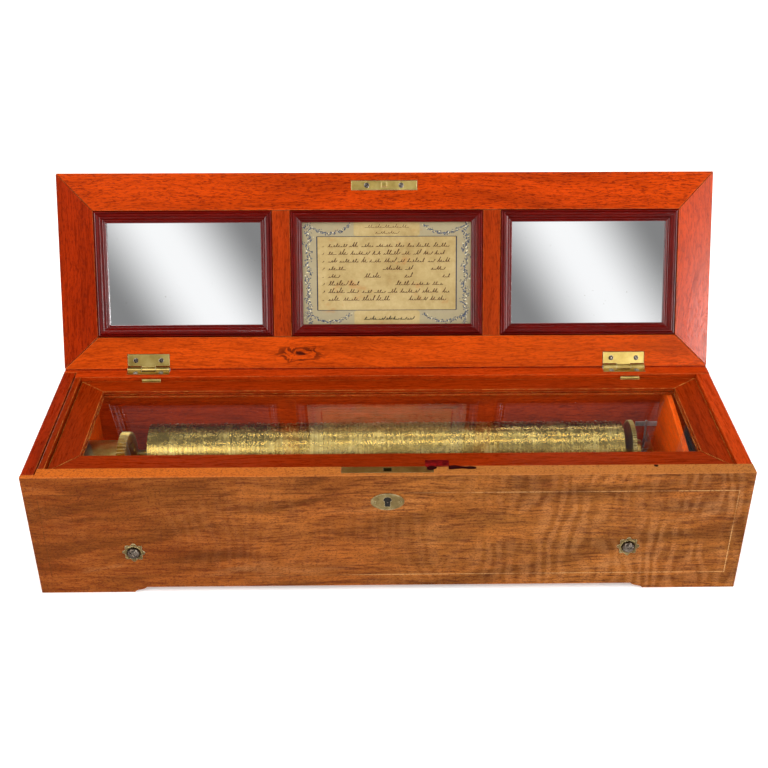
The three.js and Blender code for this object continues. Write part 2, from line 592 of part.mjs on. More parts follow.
const ratchetX = [partitionLeft - 5.2, partitionLeft - 2.2];
const ratchet = { root: 11.4, tip: 13.6 };
const ratchetOutline = Array.from({ length: ratchetTeeth }).flatMap((_, i) => {
  const angle = (2 * Math.PI * i) / ratchetTeeth;
  const steep = angle + 0.02;
  return [[ratchet.root, angle], [ratchet.tip, steep]].map(([radius, at]) =>
    [barrelAxis.y + radius * Math.cos(at), barrelAxis.z + radius * Math.sin(at)]);
});
const square = circle(barrelAxis.y, barrelAxis.z, 4.2, 4, Math.PI / 4);
add(movement, 'winding_arbor', 'steel', join(
  turned('x', barrelAxis, [[ratchetX[1] - 0.5, 3], [-206.5, 3]], 16),
  prism('x', ratchetOutline, ...ratchetX),
  prism('x', square, -268.4, ratchetX[0] + 0.5)));

// The click turns on its own pin in the partition, and its nose lies in the ratchet.
const clickArm = [[0.5, 12.05], [2.3, 13.95], [17.3, 11.7], [16.9, 18.2], [0.35, 14.9]];
add(movement, 'ratchet_click', 'steel', join(
  prism('x', circle(clickPivot.y, clickPivot.z, 3.4, 16), ...ratchetX),
  prism('x', clickArm.map(fromTooth), ...ratchetX),
  turned('x', clickPivot, [[ratchetX[1] - 0.5, 1.4], [partitionLeft + 4, 1.4]], 12)));

const greatX = [206, 209.5];
const greatLine = centreLine(cylinderAxis, governorAxis);
const greatPitch = (greatLine.length * train.great) / (train.great + train.governor);
const governorPitch = greatLine.length - greatPitch;
const pinionTeeth = toothed(
  [cylinderAxis.y, cylinderAxis.z], train.pinion, pinionPitch - 1.15, pinionPitch + 0.9,
  springLine.angle + Math.PI + Math.PI / train.pinion, [0.62, 0.18]);
const greatTeeth = toothed(
  [cylinderAxis.y, cylinderAxis.z], train.great, greatPitch - 1, greatPitch + 0.6,
  greatLine.angle, [0.78, 0.28]);
add(movement, 'cylinder_arbor', 'steel', join(
  turned('x', cylinderAxis, [[-227, 2], [217.6, 2]], 16),
  prism('x', pinionTeeth, -219.5, -206),
  prism('x', greatTeeth, ...greatX)));
const cylinderShell = 1.6;
const cylinderCap = 3;
add(movement, 'cylinder', 'brass', cut(
  turned('x', cylinderAxis, [
    [cylinderLeft, cylinderRadius - 0.4], [cylinderLeft + 0.4, cylinderRadius],
    [cylinderRight - 0.4, cylinderRadius], [cylinderRight, cylinderRadius - 0.4]], 60),
  turned('x', cylinderAxis, [
    [cylinderLeft + cylinderCap, cylinderRadius - cylinderShell],
    [cylinderRight - cylinderCap, cylinderRadius - cylinderShell]], 30),
  turned('x', cylinderAxis, [[cylinderLeft - 1, 2.15], [cylinderRight + 1, 2.15]], 16)));

const governorTeeth = toothed(
  [governorAxis.y, governorAxis.z], train.governor, governorPitch - 0.95, governorPitch + 0.6,
  greatLine.angle + Math.PI + Math.PI / train.governor, [0.66, 0.22]);
const wormWheel = { x: [220, 224], radius: 10.6, teeth: 30 };
const wormWheelTeeth = toothed([governorAxis.y, governorAxis.z], wormWheel.teeth, wormWheel.radius - 1,
  wormWheel.radius, 0);
add(movement, 'governor_wheel', 'brass', join(
  turned('x', governorAxis, [[204.6, 1.15], [230.9, 1.15]], 12),
  prism('x', governorTeeth, 204.8, 211),
  prism('x', wormWheelTeeth, ...wormWheel.x)));
const flyZ = [78.5, 82.5];
add(movement, 'worm_and_fly', 'steel', join(
  turned('z', wormAxis, [[bedTop + 2.4, 1], [flyZ[1] + 1, 1]], 12),
  turned('z', wormAxis, [[34, 1], [34.4, 1.6], [51.6, 1.6], [52, 1]], 16),
  box([wormAxis.x - 9.3, wormAxis.x + 9.3], [wormAxis.y - 0.5, wormAxis.y + 0.5], flyZ)));

// ---------------------------------------------------------------- movement: control levers
const lever = (at, swing) => {
  const handle = partitionLeft - 9.5;
  const nose = at.x + 14;
  const nearSide = [[handle, 2.6], [handle + 4.5, 2.6], [at.x - 5, 2], [at.x + 2, 4.4]];
  const outline = [
    ...nearSide.map(([x, half]) => [x, at.y - half]),
    [nose, at.y + swing - 2], [nose, at.y + swing + 2],
    ...nearSide.map(([x, half]) => [x, at.y + half]).reverse(),
  ];
  return prism('z', outline, ...leverZ, [circle(at.x, at.y, 1.7, 12).reverse()]);
};
add(movement, 'start_stop_lever', 'brass', lever(startLever, 3));
add(movement, 'tune_change_lever', 'brass', lever(changeLever, -3));

// ---------------------------------------------------------------- placing
const leaning = new THREE.Group(); // the lid turned open about its hinge pin
leaning.position.set(0, lidPin.y, lidPin.z);
leaning.rotation.x = -THREE.MathUtils.degToRad(lidOpenAngle);
lidGroup.position.set(0, -lidPin.y, -lidPin.z);
leaning.add(lidGroup);

const musicBox = new THREE.Group();
musicBox.add(caseGroup, leaning, glassGroup, flapGroup, movement);
musicBox.updateMatrixWorld(true);
const extent = new THREE.Box3().setFromObject(musicBox, true);
const middle = extent.getCenter(new THREE.Vector3());
musicBox.position.set(-middle.x, -middle.y, -extent.min.z);
export default musicBox;
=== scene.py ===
# The looks of a key-wind cylinder music box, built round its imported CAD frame. Lengths are in metres.
import json
import math
import random

import bmesh
import bpy
from mathutils import Matrix, Vector


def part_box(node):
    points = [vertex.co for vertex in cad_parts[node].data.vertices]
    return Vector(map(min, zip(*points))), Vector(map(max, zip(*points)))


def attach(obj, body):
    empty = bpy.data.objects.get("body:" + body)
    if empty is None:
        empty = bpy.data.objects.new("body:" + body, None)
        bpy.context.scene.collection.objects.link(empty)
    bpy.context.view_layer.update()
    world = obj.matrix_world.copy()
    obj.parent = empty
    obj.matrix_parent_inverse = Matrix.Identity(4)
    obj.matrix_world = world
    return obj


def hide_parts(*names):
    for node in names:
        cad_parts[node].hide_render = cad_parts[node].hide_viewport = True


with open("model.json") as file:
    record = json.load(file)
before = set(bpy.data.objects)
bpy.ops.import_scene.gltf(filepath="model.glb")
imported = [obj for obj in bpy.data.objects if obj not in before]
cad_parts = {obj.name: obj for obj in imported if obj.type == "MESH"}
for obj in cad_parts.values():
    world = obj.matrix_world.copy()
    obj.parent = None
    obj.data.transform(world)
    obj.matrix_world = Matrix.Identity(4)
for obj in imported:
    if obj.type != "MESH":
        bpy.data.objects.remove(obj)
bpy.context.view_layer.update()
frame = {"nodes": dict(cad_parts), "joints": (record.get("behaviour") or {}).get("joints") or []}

MM = 0.001
TEETH = 98
TUNES = 8
TUNE_STEP = 0.35 * MM  # how far the cylinder slides from one tune to the next
joints = {joint["name"]: joint for joint in frame["joints"]}
lid_pin = Vector(joints["lid_hinge"]["pos_m"])
lid_lean = math.radians(joints["lid_hinge"]["range_deg"][0])  # from shut to open, about +X
open_lid = Matrix.Translation(lid_pin) @ Matrix.Rotation(lid_lean, 4, "X") @ Matrix.Translation(-lid_pin)
shut_lid = open_lid.inverted()
inside_lid = (open_lid.to_3x3() @ Vector((0, 0, -1))).normalized()  # what the lid's inner face faces
up_lid = (open_lid.to_3x3() @ Vector((0, -1, 0))).normalized()  # from the hinge to the free edge


# ---- camera, lights, floor
def make_camera():
    data = bpy.data.cameras.new("camera")
    data.sensor_width = 36
    data.lens = 55.93
    data.shift_x = -0.01107
    data.shift_y = 0.0893
    camera = bpy.data.objects.new("camera", data)
    bpy.context.scene.collection.objects.link(camera)
    pan = Matrix.Rotation(math.radians(-1.07), 4, "Z")
    tilt = Matrix.Rotation(math.radians(90 - 33.436), 4, "X")
    roll = Matrix.Rotation(math.radians(0.184), 4, "Z")
    camera.matrix_world = Matrix.Translation((-0.01085, -0.86635, 0.6253)) @ pan @ tilt @ roll
    bpy.context.scene.camera = camera


def softbox(name, place, target, size, watts, colour=(1, 1, 1)):
    data = bpy.data.lights.new(name, "AREA")
    data.shape = "RECTANGLE"
    data.size, data.size_y = size
    data.energy = watts
    data.color = colour
    light = bpy.data.objects.new(name, data)
    light.location = place
    light.rotation_euler = (Vector(target) - Vector(place)).to_track_quat("-Z", "Y").to_euler()
    light.visible_camera = False
    bpy.context.scene.collection.objects.link(light)
    return light


class Nodes:
    """Adds nodes to one node tree; a value is either a number, a colour or another node's socket."""

    def __init__(self, tree):
        self.tree = tree

    def put(self, socket, value):
        if isinstance(value, bpy.types.NodeSocket):
            self.tree.links.new(value, socket)
        elif socket.type == "RGBA" and len(value) == 3:
            socket.default_value = (*value, 1)
        else:
            socket.default_value = value

    def add(self, kind, inputs=(), **settings):
        node = self.tree.nodes.new("ShaderNode" + kind)
        for key, value in settings.items():
            setattr(node, key, value)
        for key, value in dict(inputs).items():
            self.put(node.inputs[key], value)
        return node

    def math(self, operation, *values):
        return self.add("Math", enumerate(values), operation=operation).outputs[0]

    def plus(self, one, other):
        return self.math("ADD", one, other)

    def minus(self, one, other):
        return self.math("SUBTRACT", one, other)

    def times(self, one, other):
        return self.math("MULTIPLY", one, other)

    def larger(self, one, other):
        return self.math("MAXIMUM", one, other)

    def size(self, value):
        return self.math("ABSOLUTE", value)

    def below(self, value, limit):
        return self.math("LESS_THAN", value, limit)

    def vector(self, operation, *values):
        node = self.add("VectorMath", enumerate(values), operation=operation)
        return node.outputs["Value" if operation in ("DOT_PRODUCT", "LENGTH") else "Vector"]

    def stretch(self, vector, scale, shift=(0, 0, 0)):
        return self.add("Mapping", {"Vector": vector, "Scale": scale, "Location": shift}).outputs[0]

    def noise(self, vector, scale=1.0, detail=3.0, roughness=0.55, distortion=0.0):
        inputs = {"Vector": vector, "Scale": scale, "Detail": detail, "Roughness": roughness}
        return self.add("TexNoise", {**inputs, "Distortion": distortion}).outputs["Fac"]

    def spread(self, value, low, high, to_low=0.0, to_high=1.0):
        inputs = {0: value, 1: low, 2: high, 3: to_low, 4: to_high}
        return self.add("MapRange", inputs, interpolation_type="SMOOTHSTEP").outputs[0]

    def ramp(self, value, stops):
        node = self.add("ValToRGB", {"Fac": value})
        elements = node.color_ramp.elements
        while len(elements) < len(stops):
            elements.new(0.5)
        for element, (place, colour) in zip(elements, stops):
            element.position = place
            element.color = (*colour, 1)
        return node.outputs["Color"]

    def mix(self, share, one, other, blend="MIX"):
        node = self.add("Mix", data_type="RGBA", blend_type=blend)
        self.put(node.inputs["Factor"], share)
        self.put(node.inputs["A"], one)
        self.put(node.inputs["B"], other)
        return node.outputs["Result"]

    def axes(self, vector):
        return self.add("SeparateXYZ", {0: vector}).outputs


def make_world():
    """White to the camera; to reflections a grey studio with bright diagonal bands before the open lid."""
    world = bpy.data.worlds.new("studio")
    world.use_nodes = True
    n = Nodes(world.node_tree)
    ray = n.add("TexCoord").outputs["Generated"]
    facing = n.vector("DOT_PRODUCT", ray, inside_lid)
    facing = n.larger(facing, 0.05)
    across = n.math("DIVIDE", n.axes(ray)["X"], facing)
    along = n.math("DIVIDE", n.vector("DOT_PRODUCT", ray, up_lid), facing)
    lean, start, half_pitch = 0.639, -0.1587, 0.1666  # of the bands, on a plane facing the lid
    slant = n.plus(across, n.times(along, lean))
    from_band = n.math("PINGPONG", n.minus(slant, start), half_pitch)
    band = n.spread(from_band, 0.004, 0.075, 1.0, 0.235)
    glare = n.times(n.spread(across, 0.252, 0.285), n.spread(across, 0.33, 0.36, 1.0, 0.0))
    glare = n.times(glare, n.spread(along, -0.07, 0.06, 16.0, 3.0))
    band = n.plus(band, glare)
    reach = n.spread(facing, 0.75, 0.9)
    sideways = n.size(n.axes(ray)["X"])
    sides = n.spread(sideways, 0.5, 0.56, 0.0, 5.0)
    sides = n.times(sides, n.spread(sideways, 0.72, 0.8, 1.0, 0.02))
    height = n.plus(n.spread(n.axes(ray)["Z"], -0.2, 0.7, 0.16, 0.1), sides)
    shine = n.add("Mix", {0: reach, 2: height, 3: band}).outputs[0]
    path = n.add("LightPath").outputs
    soft = n.add("Mix", {0: path["Is Diffuse Ray"], 2: shine, 3: 0.5}).outputs[0]
    level = n.add("Mix", {0: path["Is Camera Ray"], 2: soft, 3: 1.0}).outputs[0]
    n.put(world.node_tree.nodes["Background"].inputs["Strength"], level)
    n.put(world.node_tree.nodes["Background"].inputs["Color"], (1, 1, 1))
    bpy.context.scene.world = world


def make_studio():
    make_world()
    softbox("key_light", (-0.9, -1.3, 1.7), (0, 0, 0.1), (1.2, 0.8), 13)
    softbox("fill_light", (1.2, -1.0, 1.2), (0, 0, 0.1), (0.8, 0.8), 5)
    softbox("front_strip", (0.12, -0.42, 1.5), (0, 0, 0.06), (0.9, 0.035), 2.2)
    softbox("back_strip", (0.12, 0.3, 1.5), (0, 0, 0.06), (0.9, 0.03), 2.2)
    material = bpy.data.materials.new("pale_floor")
    material.use_nodes = True
    n = Nodes(material.node_tree)
    shader = material.node_tree.nodes["Principled BSDF"]
    grain = n.noise(n.add("TexCoord").outputs["Object"], 60)
    n.put(shader.inputs["Base Color"], n.ramp(grain, [(0.3, (0.93, 0.93, 0.93)), (0.7, (0.96, 0.96, 0.96))]))
    n.put(shader.inputs["Roughness"], 0.85)
    n.put(shader.inputs["Specular IOR Level"], 0.1)
    n.put(shader.inputs["Emission Color"], (1, 1, 1))
    n.put(shader.inputs["Emission Strength"], 0.3)
    bm = bmesh.new()
    bmesh.ops.create_grid(bm, x_segments=4, y_segments=4, size=5)
    floor = mesh_object("floor", bm, material)
    floor.location.z = -0.2 * MM


# ---- mesh tools
def mesh_object(name, bm, material, smooth=35):
    """A new object from a bmesh, shaded smooth except over edges sharper than that many degrees."""
    mesh = bpy.data.meshes.new(name)
    bmesh.ops.recalc_face_normals(bm, faces=bm.faces)
    bm.to_mesh(mesh)
    bm.free()
    mesh.materials.append(material)
    mesh.shade_smooth()
    mesh.set_sharp_from_angle(angle=math.radians(smooth))
    made = bpy.data.objects.new(name, mesh)
    bpy.context.scene.collection.objects.link(made)
    return made


def settle(piece, body, slot, *nodes):
    """The piece rides on its body and stands for the CAD nodes, which are hidden. The slot is not used."""
    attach(piece, body)
    if nodes:
        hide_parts(*nodes)
    return piece


def piece_of(name, bm, finish, body, slot, nodes=(), smooth=35):
    return settle(mesh_object(name, bm, materials[finish], smooth), body, slot, *nodes)


def loft(bm, loops, closed=False):
    """Quads between successive loops of points. The ends are capped unless the loops close on themselves."""
    rows = [[bm.verts.new(point) for point in loop] for loop in loops]
    pairs = list(zip(rows, rows[1:]))
    if closed:
        pairs.append((rows[-1], rows[0]))
    for one, other in pairs:
        for i in range(len(one)):
            j = (i + 1) % len(one)
            bm.faces.new((one[i], one[j], other[j], other[i]))
    if not closed:
        bm.faces.new(rows[0])
        bm.faces.new(rows[-1])


def ring(place, radius, steps=24, turn=None, phase=0.0):
    """Points of a circle in the x-y plane, turned by a rotation matrix and moved to a place."""
    points = []
    for i in range(steps):
        angle = phase + 2 * math.pi * i / steps
        point = Vector((radius * math.cos(angle), radius * math.sin(angle), 0))
        points.append(Vector(place) + (turn @ point if turn else point))
    return points


def turned(bm, place, turn, stations, steps=24):
    """A turned solid: [height along the turned z axis, radius] from end to end."""
    axis = turn @ Vector((0, 0, 1))
    loft(bm, [ring(Vector(place) + axis * height, radius, steps, turn) for height, radius in stations])


TO_X = Matrix.Rotation(math.radians(90), 3, "Y")
TO_FRONT = Matrix.Rotation(math.radians(90), 3, "X")  # local z to -Y
UP = Matrix.Identity(3)
LID_IN = open_lid.to_3x3() @ Matrix.Rotation(math.pi, 3, "X")  # local z out of the lid's inner face


def carve(piece, cutter):
    """Cuts the cutter out of the piece and removes the cutter."""
    cut = piece.modifiers.new("cut", "BOOLEAN")
    cut.operation = "DIFFERENCE"
    cut.solver = "EXACT"
    cut.object = cutter
    evaluated = piece.evaluated_get(bpy.context.evaluated_depsgraph_get())
    mesh = bpy.data.meshes.new_from_object(evaluated)
    piece.modifiers.clear()
    piece.data = mesh
    bpy.data.objects.remove(cutter)


def slotted_head(radius, height, slot_width):
    """Mesh of a slotted screw head that stands on z = 0 with its slot along x."""
    bm = bmesh.new()
    stations = [(-0.35 * height, radius * 0.9), (0, radius), (0.45 * height, radius * 0.97)]
    stations += [(0.8 * height, radius * 0.78), (height, radius * 0.35)]
    turned(bm, (0, 0, 0), UP, stations, 28)
    head = mesh_object("head", bm, materials["steel"])
    bm = bmesh.new()
    bmesh.ops.create_cube(bm, size=1)
    size = Matrix.Diagonal((radius * 3, slot_width, height, 1))
    bm.transform(Matrix.Translation((0, 0, height * 0.95)) @ size)
    carve(head, mesh_object("slot", bm, materials["steel"]))
    mesh = head.data
    bpy.data.objects.remove(head)
    return mesh


def screws(name, body, places, turn, radius, height=0.5 * MM, slot_width=0.5 * MM, seed=1, finish="steel"):
    """Slotted heads at the places, each with its slot at a different angle."""
    rng = random.Random(seed)
    head = slotted_head(radius, height, slot_width)
    bm = bmesh.new()
    for place in places:
        spin = Matrix.Rotation(rng.uniform(0, math.pi), 4, "Z")
        copy = head.copy()
        copy.transform(Matrix.Translation(place) @ turn.to_4x4() @ spin)
        bm.from_mesh(copy)
    return piece_of(name, bm, finish, body, "steel")


def flat_box(node):
    """Lowest and highest corner of a lid node with the lid shut."""
    points = [shut_lid @ vertex.co for vertex in frame["nodes"][node].data.vertices]
    low = Vector(min(point[i] for point in points) for i in range(3))
    high = Vector(max(point[i] for point in points) for i in range(3))
    return low, high


# ---- materials
materials = {}


def material(name, **constants):
    """A material with constant shader values set on the shader's own sockets."""
    made = bpy.data.materials.new(name)
    made.use_nodes = True
    materials[name] = made
    shader = made.node_tree.nodes["Principled BSDF"]
    for key, value in constants.items():
        shader.inputs[key.replace("_", " ")].default_value = value
    n = Nodes(made.node_tree)
    return n, shader, n.add("TexCoord").outputs["Object"]


def as_if_shut(n, place):
    """Where a point of the open lid lies when the lid is shut, so that a pattern follows the lid's axes."""
    turn = {"Vector": place, "Center": lid_pin, "Angle": -lid_lean}
    return n.add("VectorRotate", turn, rotation_type="X_AXIS").outputs[0]


def bumped(n, shader, height, strength, distance):
    inputs = {"Height": height, "Strength": strength, "Distance": distance}
    n.put(shader.inputs["Normal"], n.add("Bump", inputs).outputs[0])


def worn_edges(n, radius):
    """1 along edges, 0 on flats: how far the rounded normal turns from the true one."""
    rounded = n.add("Bevel", {"Radius": radius}, samples=4).outputs[0]
    true = n.add("NewGeometry").outputs["Normal"]
    return n.spread(n.vector("DOT_PRODUCT", rounded, true), 0.985, 0.86)


def wood(name, tones, grain="X", lid=False, shift=0.0, figure=0.0, pores=0.8, wear=None, gloss=0.28,
         coat=0.04, dash=6, lines=0.4, extra=None):
    """Polished wood: long streaks, fine lines, pore dashes, ribbon figure across the grain, worn edges."""
    inputs = {"Coat_Weight": coat, "Coat_Roughness": 0.08, "Specular_IOR_Level": 0.03}
    n, shader, place = material(name, **inputs)
    if lid:
        place = as_if_shut(n, place)
    along = "XYZ".index(grain)

    def stretched(vector, factor):
        return n.stretch(vector, [1 if axis == along else factor for axis in range(3)])

    drift = n.vector("ADD", place, (shift, shift * 0.7, shift * 1.3))
    bend = n.add("TexNoise", {"Vector": drift, "Scale": 7.0}).outputs["Color"]
    bend = n.add("VectorMath", {0: bend, "Scale": 0.02}, operation="SCALE").outputs[0]
    bent = n.vector("ADD", drift, bend)
    streak = n.noise(stretched(bent, 9), 8, 5, 0.62, 0.5)
    fine = n.noise(stretched(bent, 14), 42, 5, 0.75)
    dashes = n.noise(stretched(bent, dash), 1150 / dash, 2, 0.6)
    short = n.noise(stretched(bent, dash * 0.7), 1300 / dash, 1, 0.5)
    cloud = n.noise(drift, 9, 3, 0.5)
    colour = n.ramp(streak, [(0.34, tones[0]), (0.5, tones[1]), (0.64, tones[2])])
    colour = n.mix(n.spread(cloud, 0.4, 0.68, 0.0, 0.5), colour, tones[3])
    colour = n.mix(n.spread(fine, 0.36, 0.56, lines, 0.0), colour, tones[4])
    pits = n.larger(n.spread(dashes, 0.55, 0.61, 0.0, pores), n.spread(short, 0.62, 0.68, 0.0, pores))
    if figure:
        across = [26 if axis == along else 4 for axis in range(3)]
        ribbon = n.noise(n.stretch(drift, across), 2.2, 2, 0.4, 0.8)
        ribbon = n.spread(ribbon, 0.36, 0.62, 0, figure)
        colour = n.mix(ribbon, colour, n.mix(0.4, colour, tones[3]))
    if extra:
        colour = extra(n, place, colour)
    colour = n.mix(pits, colour, n.mix(0.75, colour, tones[4]))
    if wear:
        edge = n.times(worn_edges(n, 0.9 * MM), n.spread(n.noise(place, 130, 4, 0.7), 0.38, 0.6, 0.15, 0.9))
        colour = n.mix(edge, colour, wear)
    n.put(shader.inputs["Base Color"], colour)
    n.put(shader.inputs["Roughness"], n.spread(fine, 0.3, 0.7, gloss - 0.06, gloss + 0.12))
    height = n.minus(n.times(fine, 0.25), pits)
    bumped(n, shader, height, 0.3, 0.12 * MM)
    n.put(shader.inputs["Coat Normal"], shader.inputs["Normal"].links[0].from_socket)
    return materials[name]


def line_mask(n, place, axis, others, centre, half, width):
    """1 on the two lines a half-distance either side of the centre, between the ends of the other axis."""
    axes = n.axes(place)
    away = n.size(n.minus(axes[axis], centre[axis]))
    near = n.below(n.size(n.minus(away, half[axis])), width)
    beside = n.size(n.minus(axes[others], centre[others]))
    return n.times(near, n.below(beside, half[others] + width))


def dark_spot(n, place, colour, centre, radius, tone=(0.012, 0.004, 0.002)):
    away = n.vector("LENGTH", n.vector("SUBTRACT", place, centre))
    return n.mix(n.spread(away, radius * 0.7, radius, 1.0, 0.0), colour, tone)


def front_details(n, place, colour):
    """Redder and darker at the left as painted shade, sloping shadows, fiddleback bars at the right, a string
    inlay line, and a painted highlight along the top, oranger at the left.
    """
    low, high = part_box("front_panel")
    axes = n.axes(place)
    # painted shade: the left end of the front is made darker and redder, as if less light falls there
    side = n.spread(axes["X"], low.x, low.x + 0.34, 1.0, 0.0)
    colour = n.mix(n.times(side, 0.5), colour, (0.2, 0.032, 0.002))
    tilt = {"Vector": place, "Center": (0, 0, 0), "Angle": math.radians(9)}
    sloped = n.add("VectorRotate", tilt, rotation_type="Y_AXIS").outputs[0]
    shadow = n.noise(n.stretch(sloped, (1, 1, 6)), 5.5, 4, 0.6, 0.7)
    colour = n.mix(n.spread(shadow, 0.46, 0.62, 0.0, 0.7), colour, n.mix(0.62, colour, (0.045, 0.012, 0.001)))
    colour = n.mix(n.spread(shadow, 0.3, 0.44, 0.35, 0.0), colour, (0.45, 0.19, 0.06))
    wander = n.noise(n.stretch(place, (1, 1, 0.5)), 24, 3, 0.5)
    phase = n.plus(n.times(axes["X"], 2 * math.pi / (11 * MM)), n.times(wander, 34))
    bars = n.spread(n.math("SINE", phase), -1.0, 1.0)
    where = n.spread(n.noise(n.stretch(place, (1, 1, 2)), 13, 3, 0.55), 0.38, 0.62)
    where = n.times(where, n.spread(axes["X"], -0.04, 0.18, 0.1, 0.5))
    dark_bar = n.times(bars, where)
    pale_bar = n.times(n.minus(1.0, bars), where)
    colour = n.mix(dark_bar, colour, n.mix(0.5, colour, (0.06, 0.018, 0.003)))
    colour = n.mix(pale_bar, colour, n.mix(0.45, colour, (0.55, 0.25, 0.09)))
    centre = {"X": (low.x + high.x) / 2, "Z": 56 * MM}
    half = {"X": (high.x - low.x) / 2 - 10.5 * MM, "Z": 40 * MM}
    upright = line_mask(n, place, "X", "Z", centre, half, 0.36 * MM)
    level = line_mask(n, place, "Z", "X", centre, half, 0.36 * MM)
    faded = n.spread(n.noise(place, 30), 0.35, 0.6, 0.2, 0.75)
    line = n.times(n.larger(upright, level), faded)
    front = n.below(axes["Y"], low.y + 0.2 * MM)
    rightward = n.spread(n.minus(axes["X"], axes["Z"]), -0.12, 0.02)
    tone = n.mix(rightward, (0.1, 0.03, 0.006), (0.6, 0.33, 0.12))
    colour = n.mix(n.times(line, front), colour, tone)
    # painted highlight: the top face and its edge are painted lighter, where light falls from above, oranger
    # towards the left
    top = n.spread(axes["Z"], high.z - 0.7 * MM, high.z - 0.4 * MM)
    left = n.spread(axes["X"], low.x + 0.1, low.x + 0.3)
    colour = n.mix(n.times(top, 0.8), colour, n.mix(left, (0.6, 0.13, 0.012), (0.44, 0.15, 0.03)))
    return dark_spot(n, place, colour, (high.x - 75 * MM, low.y + 10.6 * MM, high.z), 2 * MM)


def knot_details(n, place, colour):
    """A small knot: dark heart, wavy rings round it, stretched along the grain."""
    low = flat_box("lid_back_rail")[0]
    centre = Vector((-75 * MM, low.y + 15 * MM, low.z))
    away = n.vector("SUBTRACT", place, centre)
    flat = n.vector("LENGTH", n.vector("MULTIPLY", away, (0.4, 1, 0)))
    wave = n.noise(n.stretch(place, (1, 1.6, 1)), 85, 3, 0.6, 0.8)
    rings = n.math("SINE", n.plus(n.times(flat, 900), n.times(wave, 17)))
    near = n.spread(flat, 5 * MM, 12 * MM, 1.0, 0.0)
    ringed = n.times(near, n.spread(rings, -0.2, 0.7, 0.0, 0.9))
    colour = n.mix(ringed, colour, n.mix(0.85, colour, (0.05, 0.006, 0.001)))
    heart = n.spread(n.plus(flat, n.times(wave, 9 * MM)), 5.5 * MM, 7.5 * MM, 0.85, 0.0)
    return n.mix(heart, colour, (0.03, 0.004, 0.002))


def tones(base, spread=0.3):
    """Dark, middle and light grain, the patch tone and the pore tone round one base colour."""
    def shade(share):
        return tuple(channel * share for channel in base)
    red, green, blue = base
    patch = (min(red * (1 + 0.9 * spread), 0.95), green * (1 + 1.6 * spread), blue * (1 + 2 * spread))
    pore = (red * 0.2, green * 0.11, blue * 0.3)
    return [shade(1 - 1.5 * spread), base, shade(1 + 0.8 * spread), patch, pore]


def make_woods():
    rail = tones((0.49, 0.043, 0.001), 0.2)
    back_rail = tones((0.55, 0.06, 0.002), 0.18)
    stile = tones((0.27, 0.016, 0.0004), 0.26)
    muntin = tones((0.32, 0.03, 0.002), 0.24)
    top = tones((0.42, 0.035, 0.002), 0.24)
    frame_tone = tones((0.25, 0.02, 0.0005), 0.14)
    cheek = tones((0.66, 0.075, 0.003), 0.2)
    dark = tones((0.1, 0.0016, 0.0003), 0.3)
    nut = tones((0.31, 0.093, 0.0155), 0.4)
    worn = (0.62, 0.2, 0.05)
    gold = (0.72, 0.33, 0.07)
    dull = {"wear": worn, "gloss": 0.4, "coat": 0.02, "dash": 2.2}
    wood("walnut_front", nut, pores=0.7, lines=0.75, extra=front_details, **dull)
    wood("walnut_lid", nut, figure=0.4, pores=0.6, lines=0.45, shift=2.1, **dull)
    wood("rail_front", rail, lid=True, shift=0.4, wear=worn)
    wood("rail_back", back_rail, lid=True, shift=1.7, pores=0.45, wear=worn, extra=knot_details)
    wood("stile_left", stile, "Y", lid=True, shift=3.1, pores=0.5, wear=worn)
    wood("stile_right", rail, "Y", lid=True, shift=4.3, pores=0.5, wear=worn, coat=0.6, gloss=0.22)
    wood("muntin", muntin, "Y", lid=True, shift=5.2, pores=0.5, wear=worn)
    wood("case_back", top, shift=6.5, wear=worn, pores=0.5)
    wood("case_side", stile, "Y", shift=7.4, wear=worn, pores=0.5)
    wood("case_side_bright", top, "Y", shift=2.4, wear=worn, pores=0.35)
    wood("partition", cheek, "Y", shift=8.8, wear=gold, gloss=0.4, pores=0.35)
    wood("bottom", stile, shift=9.3, gloss=0.5, coat=0.02)
    wood("glass_rail", frame_tone, shift=1.1, wear=gold, pores=0.4)
    wood("glass_stile", frame_tone, "Y", shift=3.9, wear=gold, pores=0.4)
    wood("moulding_rail", dark, lid=True, shift=2.2, gloss=0.16, coat=0.25, pores=0.3)
    wood("moulding_stile", dark, "Y", lid=True, shift=2.9, gloss=0.12, coat=1.0, pores=0.3)


def metal(name, tones, rough, brushed=None, tarnish=0.35, bright=None, metallic=1.0):
    """Old metal: uneven tone, smudged polish, hairline scratches, brighter rubbed edges."""
    n, shader, place = material(name, Metallic=metallic)
    cloud = n.noise(place, 70, 4, 0.6)
    stain = n.noise(place, 330, 3, 0.7)
    colour = n.ramp(cloud, [(0.3, tones[0]), (0.5, tones[1]), (0.72, tones[2])])
    colour = n.mix(n.spread(stain, 0.55, 0.72, 0.0, tarnish), colour, tones[0])
    if bright:
        colour = n.mix(worn_edges(n, 0.35 * MM), colour, bright)
    scratch = n.noise(n.stretch(place, brushed or (1, 1, 1)), 500 if brushed else 900, 2, 0.5)
    n.put(shader.inputs["Base Color"], colour)
    n.put(shader.inputs["Roughness"], n.spread(n.plus(cloud, stain), 0.75, 1.3, rough - 0.02, rough + 0.06))
    bumped(n, shader, scratch, 0.05, 0.01 * MM)
    return n, shader, place, colour


